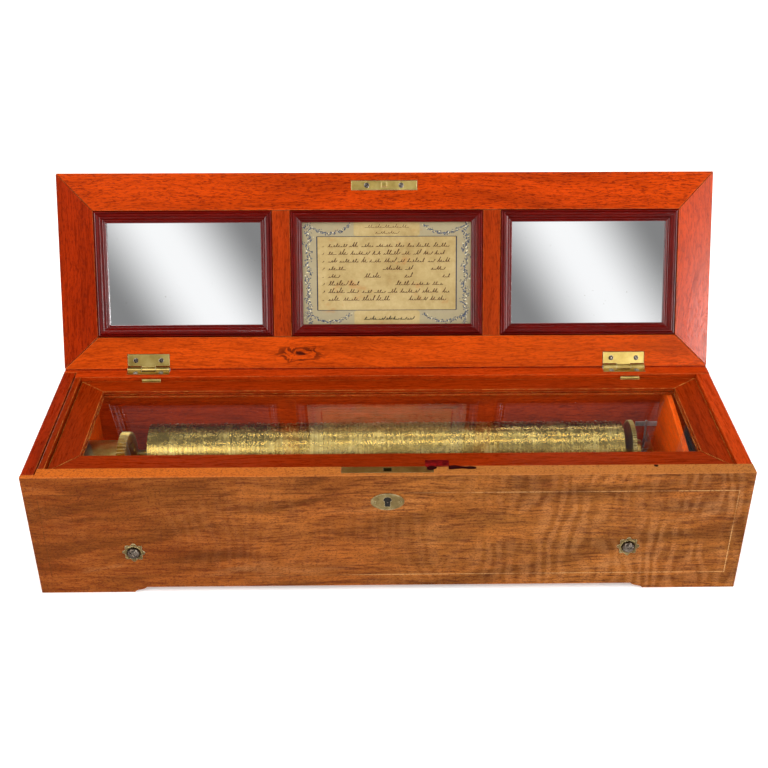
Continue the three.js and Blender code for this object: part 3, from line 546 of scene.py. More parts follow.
def make_cylinder_finish():
    """Brass tube with thousands of fine marks round it, in columns one comb tooth wide."""
    shades = [(0.40, 0.27, 0.07), (0.50, 0.36, 0.11), (0.58, 0.44, 0.16)]
    n, shader, place, colour = metal("cylinder_brass", shades, 0.25, tarnish=0.03)
    along = n.axes(place)["X"]
    lines = n.noise(n.stretch(place, (1, 0.004, 0.004)), 900, 3, 0.8)
    colour = n.mix(n.spread(lines, 0.38, 0.66, 0.5, 0.0), colour, (0.2, 0.12, 0.02))
    column = n.math("FRACT", n.times(along, 1 / (4.06 * MM)))
    groove = n.spread(n.size(n.minus(column, 0.5)), 0.3, 0.5, 0.0, 0.42)
    colour = n.mix(groove, colour, (0.2, 0.12, 0.02))
    cells = {"Vector": n.stretch(place, (1, 0.45, 0.45)), "Scale": 900.0}
    dots = n.spread(n.add("TexVoronoi", cells).outputs["Distance"], 0.12, 0.3, 0.2, 0.0)
    colour = n.mix(dots, colour, (0.2, 0.13, 0.03))
    n.put(shader.inputs["Base Color"], colour)
    bumped(n, shader, lines, 0.02, 0.01 * MM)


def make_metals():
    brass = [(0.3, 0.2, 0.05), (0.42, 0.3, 0.085), (0.52, 0.4, 0.14)]
    steel = [(0.10, 0.095, 0.09), (0.25, 0.24, 0.23), (0.42, 0.41, 0.4)]
    metal("brass", brass, 0.3, bright=(0.85, 0.76, 0.45))
    metal("steel", steel, 0.3, bright=(0.7, 0.69, 0.67), metallic=0.7)
    old = [(0.07, 0.048, 0.018), (0.17, 0.12, 0.048), (0.34, 0.26, 0.12)]
    metal("old_brass", old, 0.3, bright=(0.7, 0.6, 0.36))
    dark = [(0.03, 0.022, 0.015), (0.08, 0.06, 0.045), (0.2, 0.17, 0.14)]
    metal("dark_steel", dark, 0.25, bright=(0.5, 0.45, 0.4))
    metal("comb_steel", steel, 0.28, brushed=(0.05, 1, 1), bright=(0.75, 0.74, 0.72))
    metal("pin_steel", [(0.2, 0.16, 0.1), (0.55, 0.5, 0.4), (0.85, 0.82, 0.75)], 0.25)
    make_cylinder_finish()
    n, shader, place = material("mirror", Metallic=1.0)
    spots = n.spread(n.noise(place, 260, 4, 0.7), 0.68, 0.76)
    n.put(shader.inputs["Base Color"], n.mix(spots, (0.93, 0.94, 0.95), (0.6, 0.58, 0.53)))
    n.put(shader.inputs["Roughness"], n.spread(n.noise(place, 12, 2), 0.3, 0.7, 0.012, 0.03))


def make_glass():
    """Thin clear glass: light falls through it, and its faces reflect."""
    n, shader, place = material("glass", Transmission_Weight=1.0, IOR=1.5, Specular_IOR_Level=0.5)
    dust = n.noise(place, 40, 4, 0.6)
    n.put(shader.inputs["Base Color"], n.ramp(dust, [(0.3, (0.97, 0.985, 0.98)), (0.7, (1, 1, 1))]))
    n.put(shader.inputs["Roughness"], n.spread(dust, 0.3, 0.8, 0.0, 0.012))
    clear = n.add("BsdfTransparent", {"Color": (0.94, 0.96, 0.95)}).outputs[0]
    shadow = n.add("LightPath").outputs["Is Shadow Ray"]
    both = n.add("MixShader", {0: shadow, 1: shader.outputs[0], 2: clear}).outputs[0]
    n.put(materials["glass"].node_tree.nodes["Material Output"].inputs["Surface"], both)


def make_paper():
    """Aged card: cream field inside a grey-blue border, label areas at top and bottom, foxing and stains."""
    n, shader, place = material("paper", Specular_IOR_Level=0.2)
    low, high = flat_box("tune_card")
    centre = (low + high) / 2
    flat = n.axes(as_if_shut(n, place))
    across = n.size(n.minus(flat["X"], centre.x))
    along = n.size(n.minus(flat["Y"], centre.y))
    half_x, half_y = card["field"]
    inside = n.times(n.below(across, half_x), n.below(along, half_y))
    notch = n.minus(1.5 * MM, n.minus(along, half_y))
    notch = n.plus(across, n.times(n.larger(notch, 0.0), 1.6))
    label = n.below(notch, card["label"])
    cream = n.larger(inside, label)
    fibres = n.noise(place, 240, 5, 0.7)
    cloud = n.noise(place, 26, 4, 0.6)
    field = n.ramp(n.plus(n.times(fibres, 0.4), n.times(cloud, 0.6)),
                   [(0.35, (0.33, 0.22, 0.075)), (0.5, (0.43, 0.31, 0.125)), (0.66, (0.52, 0.39, 0.18))])
    border = n.mix(0.6, field, (0.29, 0.27, 0.19))
    colour = n.mix(cream, border, field)
    stain = n.spread(n.noise(place, 60, 3, 0.6, 0.4), 0.6, 0.74, 0.0, 0.5)
    colour = n.mix(stain, colour, (0.42, 0.17, 0.04))
    n.put(shader.inputs["Base Color"], colour)
    n.put(shader.inputs["Roughness"], n.spread(fibres, 0.3, 0.7, 0.5, 0.75))
    bumped(n, shader, fibres, 0.15, 0.05 * MM)


def ink(name, tone, other):
    n, shader, place = material(name, Specular_IOR_Level=0.2)
    n.put(shader.inputs["Base Color"], n.mix(n.spread(n.noise(place, 900, 3), 0.35, 0.65), tone, other))
    n.put(shader.inputs["Roughness"], n.spread(n.noise(place, 300), 0.3, 0.7, 0.55, 0.8))


def make_inks():
    ink("brown_ink", (0.035, 0.01, 0.002), (0.11, 0.035, 0.008))
    ink("pale_ink", (0.38, 0.25, 0.1), (0.45, 0.31, 0.13))
    # black ink for the label print, also used as the keyhole's painted shadow
    ink("black_ink_and_painted_shade", (0.004, 0.003, 0.002), (0.014, 0.01, 0.007))
    ink("navy_ink", (0.008, 0.01, 0.03), (0.02, 0.025, 0.06))
    ink("blue_ink", (0.018, 0.026, 0.055), (0.09, 0.11, 0.16))
    ink("yellow_ink", (0.7, 0.6, 0.3), (0.8, 0.76, 0.6))


def make_ribbon_finish():
    """Faded silk with fine ribs across, and a near-black copy of it that paints the shade of the folds."""
    silk("ribbon", (0.17, 0.004, 0.004))
    silk("ribbon_painted_shade", (0.02, 0.001, 0.001))


def silk(name, tone):
    n, shader, place = material(name, Specular_IOR_Level=0.02)
    rib = n.math("SINE", n.times(n.axes(place)["X"], 2 * math.pi / (0.35 * MM)))
    cloud = n.noise(place, 190, 3, 0.6)
    shades = [tuple(channel * share for channel in tone) for share in (0.4, 1.0, 1.7)]
    colour = n.ramp(cloud, list(zip((0.35, 0.55, 0.7), shades)))
    colour = n.mix(n.spread(rib, -1, 1, 0.0, 0.3), colour, (0.02, 0.001, 0.002))
    n.put(shader.inputs["Base Color"], colour)
    n.put(shader.inputs["Roughness"], n.spread(rib, -1, 1, 0.5, 0.65))
    bumped(n, shader, rib, 0.4, 0.05 * MM)


def card_layout():
    """Half sizes of the written field and the width of the labels, from the card's own box."""
    low, high = flat_box("tune_card")
    width, height = high.x - low.x, high.y - low.y
    return {"field": (width * 0.402, height * 0.345), "label": width * 0.19, "low": low, "high": high}


card = card_layout()


# ---- wood pieces
def dress(node, finish, slot, width=0.0, segments=2):
    """A CAD node keeps its shape, with its edges rounded by modifiers, and takes a material."""
    piece = frame["nodes"][node]
    piece.data.materials.clear()
    piece.data.materials.append(materials[finish])
    weld = piece.modifiers.new("weld", "WELD")
    weld.merge_threshold = 1e-6
    flat = piece.modifiers.new("flat", "DECIMATE")
    flat.decimate_type = "DISSOLVE"
    flat.angle_limit = math.radians(0.2)
    if width:
        round_over = piece.modifiers.new("round", "BEVEL")
        round_over.width = width
        round_over.segments = segments
        round_over.limit_method = "ANGLE"
        round_over.angle_limit = math.radians(32)
        round_over.use_clamp_overlap = True
        round_over.harden_normals = False
    smooth = piece.modifiers.new("smooth", "WEIGHTED_NORMAL")
    smooth.keep_sharp = True
    smooth.weight = 100
    return piece


CASE_WOOD = [  # nodes, finish, slot, rounding of the edges in millimetres
    ("front_panel", "walnut_front", "walnut", 0.7),
    ("back_panel", "case_back", "mahogany", 0.6),
    ("right_end_panel", "case_side_bright", "mahogany", 0.8),
    ("end_flap", "case_side", "mahogany", 0.8),
    ("flap_sill", "case_side", "mahogany", 0.4),
    ("end_rail", "glass_stile", "redwood", 0.5),
    ("bottom_board", "bottom", "mahogany", 0.3),
    ("left_partition", "partition", "mahogany", 0.4),
    ("right_partition", "partition", "mahogany", 0.5),
]
LIDS = [
    ("lid_board", "walnut_lid", "walnut", 1.0, 3),
    ("lid_front_rail", "rail_front", "mahogany", 0.35),
    ("lid_back_rail", "rail_back", "mahogany", 0.35),
    ("lid_left_stile", "stile_left", "mahogany", 0.35),
    ("lid_right_stile", "stile_right", "mahogany", 0.35),
    ("lid_muntin_left lid_muntin_right", "muntin", "mahogany", 0.25),
    ("lid_mirror_left lid_mirror_right", "mirror", "mirror", 0.4),
    ("tune_card", "paper", "paper", 0),
    ("glass_frame_front glass_frame_back", "glass_rail", "redwood", 0.8, 3),
    ("glass_frame_left glass_frame_right", "glass_stile", "redwood", 0.8, 3),
    ("glass_pane", "glass", "glass", 0),
]
TRAIN = [
    ("spring_barrel governor_wheel", "brass", "brass", 0.12, 1),
    ("cylinder_arbor", "brass", "steel", 0.12, 1),
    ("winding_arbor ratchet_click worm_and_fly", "steel", "steel", 0.15, 1),
    ("bedplate cylinder_cock_left cylinder_cock_right", "brass", "brass", 0.35),
    ("barrel_bracket governor_cock", "brass", "brass", 0.35),
    ("start_stop_lever tune_change_lever", "brass", "brass", 0.3),
]
FITTINGS = [
    ("lid_hinge_case_leaf_left lid_hinge_case_leaf_right", "brass", "brass", 0.25),
    ("lid_hinge_lid_leaf_left lid_hinge_lid_leaf_right", "brass", "brass", 0.25),
    ("glass_hinge_left glass_hinge_right lock_case", "brass", "brass", 0.2),
    ("lid_link_plate", "brass", "brass", 0.25),
    ("lock_bolt", "steel", "steel", 0.2),
    ("flap_hinge_upper_leaf flap_hinge_lower_leaf", "brass", "brass", 0.15),
]


def dress_rows(rows):
    for nodes, finish, slot, width, *segments in rows:
        for node in nodes.split():
            dress(node, finish, slot, width * MM, *segments)


def make_lipping():
    """A thin strip down the lid's back edge between the hinges, that meets the case when the lid is open."""
    low, high = flat_box("lid_back_rail")
    left, right = flat_box("lid_hinge_lid_leaf_left"), flat_box("lid_hinge_lid_leaf_right")
    gap, short = 0.4 * MM, 0.3 * MM
    stops = [low.x + short, left[0].x - gap, left[1].x + gap]
    stops += [right[0].x - gap, right[1].x + gap, high.x - short]
    outline = [(0.02, 0.05), (1.45, 0.05), (1.5, 0.1), (1.5, 7.6), (1.2, 8.0), (0.02, 8.0)]
    bm = bmesh.new()
    for start, end in zip(stops[::2], stops[1::2]):
        loops = []
        for x in (start, end):
            loops.append([open_lid @ Vector((x, high.y + y * MM, low.z + z * MM)) for y, z in outline])
        loft(bm, loops)
    piece_of("lid_back_lipping", bm, "bottom", "lid", "mahogany")


def arc(centre, radius, start, end, steps):
    """Points [out, height] of an arc, in degrees, inclusive of both ends."""
    points = []
    for i in range(steps + 1):
        angle = math.radians(start + (end - start) * i / steps)
        points.append((centre[0] + radius * math.cos(angle), centre[1] + radius * math.sin(angle)))
    return points


def moulding_profile(width, rise):
    """From the sight edge outward: bead, fillet, hollow, fillet, ovolo and outer bead; millimetres."""
    face = [(0.0, 2.6), (0.0, 4.6)]
    face += arc((0.8, 4.9), 0.8, 180, 60, 5)
    face += [(1.5, 5.2), (1.7, 5.6)]
    face += arc((1.7, 7.6), 2.0, -80, -8, 6)
    face += [(3.9, 7.4), (4.2, 7.9)]
    face += [(4.9, 8.1), (5.3, 8.6)]
    face += arc((6.6, 8.2), 1.25, 160, 25, 7)
    face += [(7.9, 8.1)]
    face += arc((8.8, 8.0), 0.75, 165, 15, 5)
    face += [(width, 7.4), (width, 0.2), (2.6, 0.2), (2.6, 2.6)]
    return [(out * MM, min(height, rise) * MM) for out, height in face]


def make_mouldings():
    """Mitred stepped frames round the mirrors and the card, four lengths of one profile each."""
    for side in ("left", "centre", "right"):
        low, high = flat_box(f"lid_moulding_{side}")
        width = 9.9
        profile = moulding_profile(width, (high.z - low.z) / MM)
        inner = [low.xy + Vector((width, width)) * MM, high.xy - Vector((width, width)) * MM]
        for run, finish in (("rail", "moulding_rail"), ("stile", "moulding_stile")):
            bm = bmesh.new()
            for end in (0, 1):
                loops = []
                for other in (0, 1):
                    x_end, y_end = (other, end) if run == "rail" else (end, other)
                    x_way, y_way = 2 * x_end - 1, 2 * y_end - 1
                    loop = []
                    for out, height in profile:
                        point = (inner[x_end].x + x_way * out, inner[y_end].y + y_way * out, high.z - height)
                        loop.append(open_lid @ Vector(point))
                    loops.append(loop)
                loft(bm, loops)
            name = f"moulding_{side}_{run}s"
            piece_of(name, bm, finish, "lid", "moulding", [f"lid_moulding_{side}"], 28)


# ---- tune card
def stroke(bm, points, width, thick, lift):
    """A flat pen stroke through points on the shut card (x, y), as a thin closed strip."""
    rows = []
    z = card["low"].z
    for i, point in enumerate(points):
        before, after = points[max(i - 1, 0)], points[min(i + 1, len(points) - 1)]
        way = Vector((after[0] - before[0], after[1] - before[1]))
        way = way.normalized() if way.length > 1e-9 else Vector((1, 0))
        pen = width * (0.55 + 0.45 * abs(way.y))  # a pen presses on its upright strokes
        side = Vector((-way.y, way.x)) * pen / 2
        corners = [(point[0] + side.x, point[1] + side.y), (point[0] - side.x, point[1] - side.y)]
        loop = [(*corners[0], z - lift), (*corners[1], z - lift)]
        loop += [(*corners[1], z - lift - thick), (*corners[0], z - lift - thick)]
        rows.append([open_lid @ Vector(corner) for corner in loop])
    loft(bm, rows)


def scribble(rng, x, y, length, size):
    """A pen line of loops and humps that has the rhythm of handwriting and no letters in it."""
    points = []
    steps = max(int(length / (0.2 * MM)), 8)
    kind = rng.random()
    for i in range(steps + 1):
        t = i / steps
        beat = t * length / (2.1 * MM) * 2 * math.pi
        swell = 0.55 + 0.45 * math.sin(beat * 0.29 + kind * 20)
        rise = size * 0.5 * swell * (1 - math.cos(beat))
        back = 0.5 * MM * math.sin(beat) * (0.5 + kind)
        points.append((x + t * length + back + rise * 0.5, y - rise))
    return points


def make_writing():
    """Eight rows of scribbled lines with gaps, two short label lines and the ruled rows beneath."""
    rng = random.Random(8)
    low, high = card["low"], card["high"]
    middle = (low + high) / 2
    half_x, half_y = card["field"]
    rows = 8
    pitch = 2 * half_y * 0.83 / rows
    bm = bmesh.new()
    rules = bmesh.new()
    for row in range(rows):
        y = middle.y - half_y * 0.72 + row * pitch
        x = middle.x - half_x * 0.93
        stroke(bm, scribble(rng, x, y, 1.6 * MM, 2.2 * MM), 0.5 * MM, 0.015 * MM, 0.02 * MM)
        stroke(rules, [(x + 4 * MM, y), (middle.x + half_x * 0.9, y)], 0.16 * MM, 0.008 * MM, 0.01 * MM)
        x += 5 * MM
        end = middle.x + half_x * 0.9
        while x < end - 6 * MM:
            length = min(rng.uniform(5, 17) * MM, end - x)
            line = scribble(rng, x, y, length, rng.uniform(2.6, 5.0) * MM)
            stroke(bm, line, 0.68 * MM, 0.015 * MM, 0.02 * MM)
            if row in (3, 4, 5, 7) and rng.random() < 0.6:
                x += rng.uniform(12, 30) * MM
            x += length + rng.uniform(1.5, 3.5) * MM
    for y, half, size in ((low.y + 6.8 * MM, 19 * MM, 3.0 * MM), (low.y + 11.8 * MM, 10 * MM, 2.4 * MM)):
        stroke(bm, scribble(rng, middle.x - half, y, 2 * half, size), 0.42 * MM, 0.015 * MM, 0.02 * MM)
    piece_of("card_writing", bm, "brown_ink", "lid", "paper")
    piece_of("card_ruled_lines", rules, "pale_ink", "lid", "paper")
    bm = bmesh.new()
    y = high.y - 6 * MM
    for i in range(7):
        x = middle.x - 20 * MM + i * 6.2 * MM
        stroke(bm, scribble(rng, x, y, 5.0 * MM, 3.2 * MM), 0.85 * MM, 0.015 * MM, 0.02 * MM)
    piece_of("card_label_writing", bm, "black_ink_and_painted_shade", "lid", "paper")


def leaf(bm, x, y, size, angle, lift):
    """A small printed leaf or petal: a thin six-sided lozenge."""
    outline = [(1, 0), (0.4, 0.42), (-0.5, 0.36), (-1, 0), (-0.5, -0.36), (0.4, -0.42)]
    loops = []
    z = card["low"].z
    for depth in (lift, lift + 0.012 * MM):
        loop = []
        for u, v in outline:
            turned_u = u * math.cos(angle) - v * math.sin(angle)
            turned_v = u * math.sin(angle) + v * math.cos(angle)
            loop.append(open_lid @ Vector((x + turned_u * size, y + turned_v * size, z - depth)))
        loops.append(loop)
    loft(bm, loops)


def make_border():
    """Printed border: a single rule round the field, vines up both sides and a swag in each corner."""
    rng = random.Random(21)
    low, high = card["low"], card["high"]
    middle = (low + high) / 2
    half_x, half_y = card["field"]
    bm = bmesh.new()
    corners = [(-half_x, -half_y), (half_x, -half_y), (half_x, half_y), (-half_x, half_y)]
    for i, (u, v) in enumerate(corners):
        w, t = corners[(i + 1) % 4]
        start = (middle.x + u, middle.y + v)
        stroke(bm, [start, (middle.x + w, middle.y + t)], 0.95 * MM, 0.012 * MM, 0.014 * MM)
    piece_of("card_rule", bm, "navy_ink", "lid", "paper")
    blue, pale = bmesh.new(), bmesh.new()
    sight_x = high.x - middle.x - 2.4 * MM  # what the moulding leaves showing
    sight_y = high.y - middle.y - 2.4 * MM
    vine_x = (half_x + sight_x) / 2 + 1.6 * MM
    for side in (-1, 1):
        for i in range(260):
            v = -sight_y + 2 * sight_y * (i + rng.random()) / 260
            u = side * (vine_x + 1.3 * MM * math.sin(v * 420 + side) + rng.gauss(0, 1.5 * MM))
            target = pale if i % 9 == 0 else blue
            size = rng.uniform(0.5, 1.15) * MM
            u = max(-sight_x, min(sight_x, u))
            leaf(target, middle.x + u, middle.y + v, size, rng.uniform(0, 6.3), rng.uniform(0.012, 0.02) * MM)
    for side in (-1, 1):
        for end in (-1, 1):
            for i in range(110):
                t = (i + rng.random()) / 110
                u = half_x * 0.52 + t * (vine_x - half_x * 0.52)
                sag = 4 * t * (1 - t)
                v = half_y + (sight_y - half_y) * (0.85 - 0.62 * sag if end < 0 else 0.25 + 0.6 * sag)
                v += rng.gauss(0, 0.8 * MM)
                u += rng.gauss(0, 0.5 * MM)
                target = pale if i % 11 == 0 else blue
                size = rng.uniform(0.45, 1.0) * MM
                spot = (middle.x + side * u, middle.y + end * min(v, sight_y))
                leaf(target, *spot, size, rng.uniform(0, 6.3), rng.uniform(0.012, 0.02) * MM)
    piece_of("card_border_leaves", blue, "blue_ink", "lid", "paper")
    piece_of("card_border_flowers", pale, "yellow_ink", "lid", "paper")


# ---- brass fittings
def make_fittings():
    dress_rows(FITTINGS)
    for side in ("left", "right"):
        low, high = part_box(f"lid_hinge_case_leaf_{side}")
        leaf_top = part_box("back_panel")[1].z
        places = [(x, low.y + 2.9 * MM, leaf_top - 0.1 * MM) for x in (low.x + 7 * MM, high.x - 7 * MM)]
        screws(f"hinge_case_screws_{side}", "root", places, UP, 2.1 * MM, 0.3 * MM, seed=3)
        low, high = flat_box(f"lid_hinge_lid_leaf_{side}")
        places = []
        for x in (low.x + 7 * MM, high.x - 7 * MM):
            places.append(open_lid @ Vector((x, low.y + 5.2 * MM, lid_inner + 0.1 * MM)))
        name = f"hinge_lid_screws_{side}"
        screws(name, "lid", places, LID_IN, 2.2 * MM, 0.3 * MM, seed=5, finish="dark_steel")
    low, high = flat_box("lid_link_plate")
    y = (low.y + high.y) / 2
    places = [open_lid @ Vector((x, y, lid_inner + 0.1 * MM)) for x in (low.x + 13 * MM, high.x - 13.5 * MM)]
    screws("link_plate_screws", "lid", places, LID_IN, 2.3 * MM, 0.35 * MM, seed=6, finish="dark_steel")


lid_inner = flat_box("lid_front_rail")[0].z  # height of the lid's inner face with the lid shut


def relief(bm, place, turn, rings, sides, height_at, back):
    """A thin solid whose front follows height_at(radius, angle): rings of points, and a flat back."""
    loops = []
    for radius in rings:
        loop = []
        for i in range(sides):
            angle = 2 * math.pi * i / sides
            reach, height = height_at(radius, angle)
            local = Vector((reach * math.cos(angle), reach * math.sin(angle), height))
            loop.append(Vector(place) + turn @ local)
        loops.append(loop)
    for radius in (rings[-1], rings[0]):
        loop = []
        for i in range(sides):
            angle = 2 * math.pi * i / sides
            reach, _ = height_at(radius, angle)
            local = Vector((reach * math.cos(angle), reach * math.sin(angle), back))
            loop.append(Vector(place) + turn @ local)
        loops.append(loop)
    loft(bm, loops, closed=True)


def make_rosettes():
    """Pressed brass rosettes: eight rays with a ball at each tip, a beaded ring and a raised middle."""
    for side, tilt, phase in (("left", -38, 0.4), ("right", 24, 0.0)):
        low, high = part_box(f"screw_rosette_{side}")
        centre = Vector(((low.x + high.x) / 2, high.y, (low.z + high.z) / 2))
        outer = (high.x - low.x) / 2

        def shape(radius, angle):
            ray = 0.5 + 0.5 * math.cos(8 * angle + phase)
            share = radius / outer
            reach = radius * (1 - 0.22 * (1 - ray) * max(share - 0.6, 0) / 0.4)
            collar = 0.9 * MM * math.exp(-((share - 0.66) / 0.07) ** 2)
            ball = 0.8 * MM * ray ** 2 * math.exp(-((share - 0.9) / 0.07) ** 2)
            return reach, 0.25 * MM + collar * (0.75 + 0.25 * math.cos(24 * angle)) + ball

        bm = bmesh.new()
        hole = 2.5 * MM
        rings = [hole + (outer - hole) * i / 22 for i in range(23)]
        relief(bm, centre, TO_FRONT, rings, 128, shape, 0.05 * MM)
        piece_of(f"rosette_{side}", bm, "old_brass", "root", "brass", [f"screw_rosette_{side}"], 50)
        low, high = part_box(f"movement_screw_{side}")
        place = Vector((centre.x, low.y, centre.z))
        bm = bmesh.new()
        dome = [(0, 0.6), (-0.12, 1.6), (-0.42, 2.8), (-0.95, 3.9), (-1.6, 4.6), (-2.2, 4.85), (-2.6, 4.9)]
        dome += [(-2.65, 4.6), (-2.65, 2.1)]
        shank = [(-(high.y - low.y) / MM, 2.1)]
        stations = [(height * MM, radius * MM) for height, radius in dome + shank]
        turned(bm, place, TO_FRONT, stations, 48)
        head = mesh_object(f"case_screw_{side}", bm, materials["dark_steel"], 40)
        bm = bmesh.new()
        bmesh.ops.create_cube(bm, size=1)
        slot = Matrix.Diagonal((14 * MM, 1.5 * MM, 3.4 * MM, 1))
        turn = TO_FRONT.to_4x4() @ Matrix.Rotation(math.radians(tilt), 4, "Z")
        bm.transform(Matrix.Translation(place) @ turn @ slot)
        carve(head, mesh_object("slot_cutter", bm, materials["steel"]))
        settle(head, "root", "steel", f"movement_screw_{side}")


def oval(reach_x, reach_z, steps=64):
    """Points of a slightly pointed oval."""
    points = []
    for i in range(steps):
        angle = 2 * math.pi * i / steps
        c, s = math.cos(angle), math.sin(angle)
        x, z = math.copysign(abs(c) ** 1.12, c), math.copysign(abs(s) ** 0.92, s)
        points.append((reach_x * x, reach_z * z))
    return points


def make_escutcheon():
    """Oval plate with a rolled rim, a keyhole through it, two domed pins and the lock's own pin inside; a
    near-black sheet just inside the keyhole is painted shadow.
    """
    low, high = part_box("keyhole_escutcheon")
    centre = Vector(((low.x + high.x) / 2, 0, (low.z + high.z) / 2))
    reach_x, reach_z = (high.x - low.x) / 2, (high.z - low.z) / 2
    steps = 64
    keyhole = []
    for i in range(steps):
        angle = 2 * math.pi * i / steps
        c, s = math.cos(angle), math.sin(angle)
        radius = 3.1 * MM
        if s < -0.3:
            radius = min(6.0 * MM / abs(s), 2.1 * MM / max(abs(c), 1e-6), 6.2 * MM)
        keyhole.append((radius * c * 1.05, radius * s + 1.2 * MM))
    outline = oval(1, 1, steps)
    bands = [(0.0, 0.25), (0.3, 0.28), (0.7, 0.25), (0.84, 0.3)]
    bands += [(0.88, 0.6), (0.93, 0.72), (0.98, 0.55), (1.0, 0.2)]
    loops = []
    for share, height in bands + [(1.0, 0.0), (0.0, 0.0)]:
        loop = []
        for (kx, kz), (ox, oz) in zip(keyhole, outline):
            x = kx + (ox * reach_x - kx) * share
            z = kz + (oz * reach_z - kz) * share
            loop.append((centre.x + x, high.y - height * MM * 0.9, centre.z + z))
        loops.append(loop)
    bm = bmesh.new()
    loft(bm, loops, closed=True)
    piece_of("escutcheon_plate", bm, "old_brass", "root", "brass", ["keyhole_escutcheon"], 50)
    # painted shadow: a near-black sheet just inside the keyhole stands for the shade in the hole
    bm = bmesh.new()
    keyhole_shadow_rings = []
    for depth in (0.02 * MM, 0.14 * MM):
        keyhole_shadow_rings.append([(centre.x + kx * 0.97, high.y - depth, centre.z + kz * 0.97) for kx, kz in keyhole])
    loft(bm, keyhole_shadow_rings)
    piece_of("keyhole_painted_shadow", bm, "black_ink_and_painted_shade", "root", "steel")
    bm = bmesh.new()
    for side in (-1, 1):
        place = (centre.x + side * reach_x * 0.76, high.y - 0.2 * MM, centre.z - 0.4 * MM)
        dome = [(0, 1.15), (0.2, 1.1), (0.4, 0.7), (0.48, 0.2)]
        turned(bm, place, TO_FRONT, [(height * MM, radius * MM) for height, radius in dome], 16)
    piece_of("escutcheon_pins", bm, "old_brass", "root", "brass")
    bm = bmesh.new()
    place = (centre.x, high.y - 0.1 * MM, centre.z - 0.6 * MM)
    turned(bm, place, TO_FRONT, [(0, 0.6 * MM), (0.3 * MM, 0.6 * MM), (0.4 * MM, 0.4 * MM)], 14)
    piece_of("lock_key_pin", bm, "dark_steel", "root", "steel")


# ---- movement
def make_cylinder():
    """The tube with its end caps, and thousands of pins in columns under the comb's teeth."""
    low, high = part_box("cylinder")
    axis = Vector(joints["cylinder_turn"]["pos_m"])
    radius = (high.z - low.z) / 2
    length = high.x - low.x
    start = Vector((low.x, axis.y, axis.z))
    bore = 2.15 * MM
    stations = [(0.0, bore), (0.0, radius * 0.5), (0.0, radius * 0.84), (0.5 * MM, radius * 0.86)]
    stations += [(0.5 * MM, radius * 0.93), (0.0, radius * 0.95)]
    stations += [(0.0, radius - 0.3 * MM), (0.3 * MM, radius)]
    stations += [(length - height, reach) for height, reach in reversed(stations)]
    bm = bmesh.new()
    loops = [ring(start + Vector((height, 0, 0)), reach, 120, TO_X) for height, reach in stations]
    loft(bm, loops, closed=True)
    piece_of("cylinder_tube", bm, "cylinder_brass", "tune_cylinder", "brass", ["cylinder"], 40)
    rng = random.Random(4)
    comb_low, comb_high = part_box("comb")
    pitch = (comb_high.x - comb_low.x) / TEETH
    bm = bmesh.new()
    for tooth in range(TEETH):
        for tune in range(TUNES):
            x = comb_low.x + (tooth + 0.5) * pitch + (tune + 1 - TUNES) * TUNE_STEP
            if not low.x + 1 * MM < x < high.x - 1 * MM:
                continue
            for _ in range(rng.randint(3, 7)):
                angle = rng.uniform(0, 2 * math.pi)
                out = Vector((0, math.cos(angle), math.sin(angle)))
                way = Vector((0, -out.z, out.y))
                half = 0.16 * MM
                loops = []
                for height in (-0.5 * MM, 0.72 * MM):
                    foot = Vector((x, axis.y, axis.z)) + out * (radius + height)
                    sides = [Vector((half, 0, 0)), way * half, Vector((-half, 0, 0)), way * -half]
                    loops.append([foot + side for side in sides])
                loft(bm, loops)
    piece_of("cylinder_pins", bm, "pin_steel", "tune_cylinder", "steel", smooth=30)


def make_comb():
    """A comb of ninety-eight tapered teeth, its screws and the bright line of its clamping plate."""
    low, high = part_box("comb")
    pitch = (high.x - low.x) / TEETH
    back = low.y
    bm = bmesh.new()
    outline = [(low.x, back)]
    outline.append((low.x, back + 26 * MM))
    for i in range(TEETH):
        left = low.x + i * pitch + 0.18 * MM
        right = low.x + (i + 1) * pitch - 0.18 * MM
        root = back + (26 - 7 * i / TEETH) * MM
        outline += [(left, root), (left + 1.25 * MM, high.y), (right - 1.25 * MM, high.y), (right, root)]
    outline += [(high.x, back + 19 * MM), (high.x, back)]
    loft(bm, [[(x, y, z) for x, y in outline] for z in (low.z, high.z)])
    piece_of("comb_teeth", bm, "comb_steel", "root", "steel", ["comb"], 30)
    places = [(low.x + (i + 0.5) * (high.x - low.x) / 11, back + 7 * MM, high.z) for i in range(11)]
    screws("comb_screws", "root", places, UP, 3.4 * MM, 1.6 * MM, 0.8 * MM, seed=9)
    dress("comb_base", "brass", "brass", 0.4 * MM)


def make_train():
    dress_rows(TRAIN)
    for body, node in (("start_lever", "start_stop_lever"), ("change_lever", "tune_change_lever")):
        low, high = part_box(node)
        bm = bmesh.new()
        y = joints[f"{body}_swing"]["pos_m"][1]
        stations = [(0, 1.2), (0.6, 2.2), (1.6, 2.5), (2.6, 2.2), (3.2, 1.2)]
        place = (low.x + 3 * MM, y, high.z)
        turned(bm, place, UP, [(height * MM, radius * MM) for height, radius in stations], 20)
        piece_of(f"{body}_knob", bm, "brass", body, "brass")
    make_worm()


def make_worm():
    """The thread of the endless screw, one helix round the stem of the fly."""
    axis = Vector(joints["fly_turn"]["pos_m"])
    bm = bmesh.new()
    turns, per_turn, pitch = 11, 24, 1.5 * MM
    loops = []
    for i in range(turns * per_turn + 1):
        angle = 2 * math.pi * i / per_turn
        height = 35 * MM + pitch * i / per_turn
        out = Vector((math.cos(angle), math.sin(angle), 0))
        section = [(1.5, -0.5), (2.3, -0.15), (2.3, 0.15), (1.5, 0.5)]
        centre = Vector((axis.x, axis.y, height))
        loops.append([centre + out * (reach * MM) + Vector((0, 0, rise * MM)) for reach, rise in section])
    loft(bm, loops)
    piece_of("worm_thread", bm, "steel", "fly", "steel")


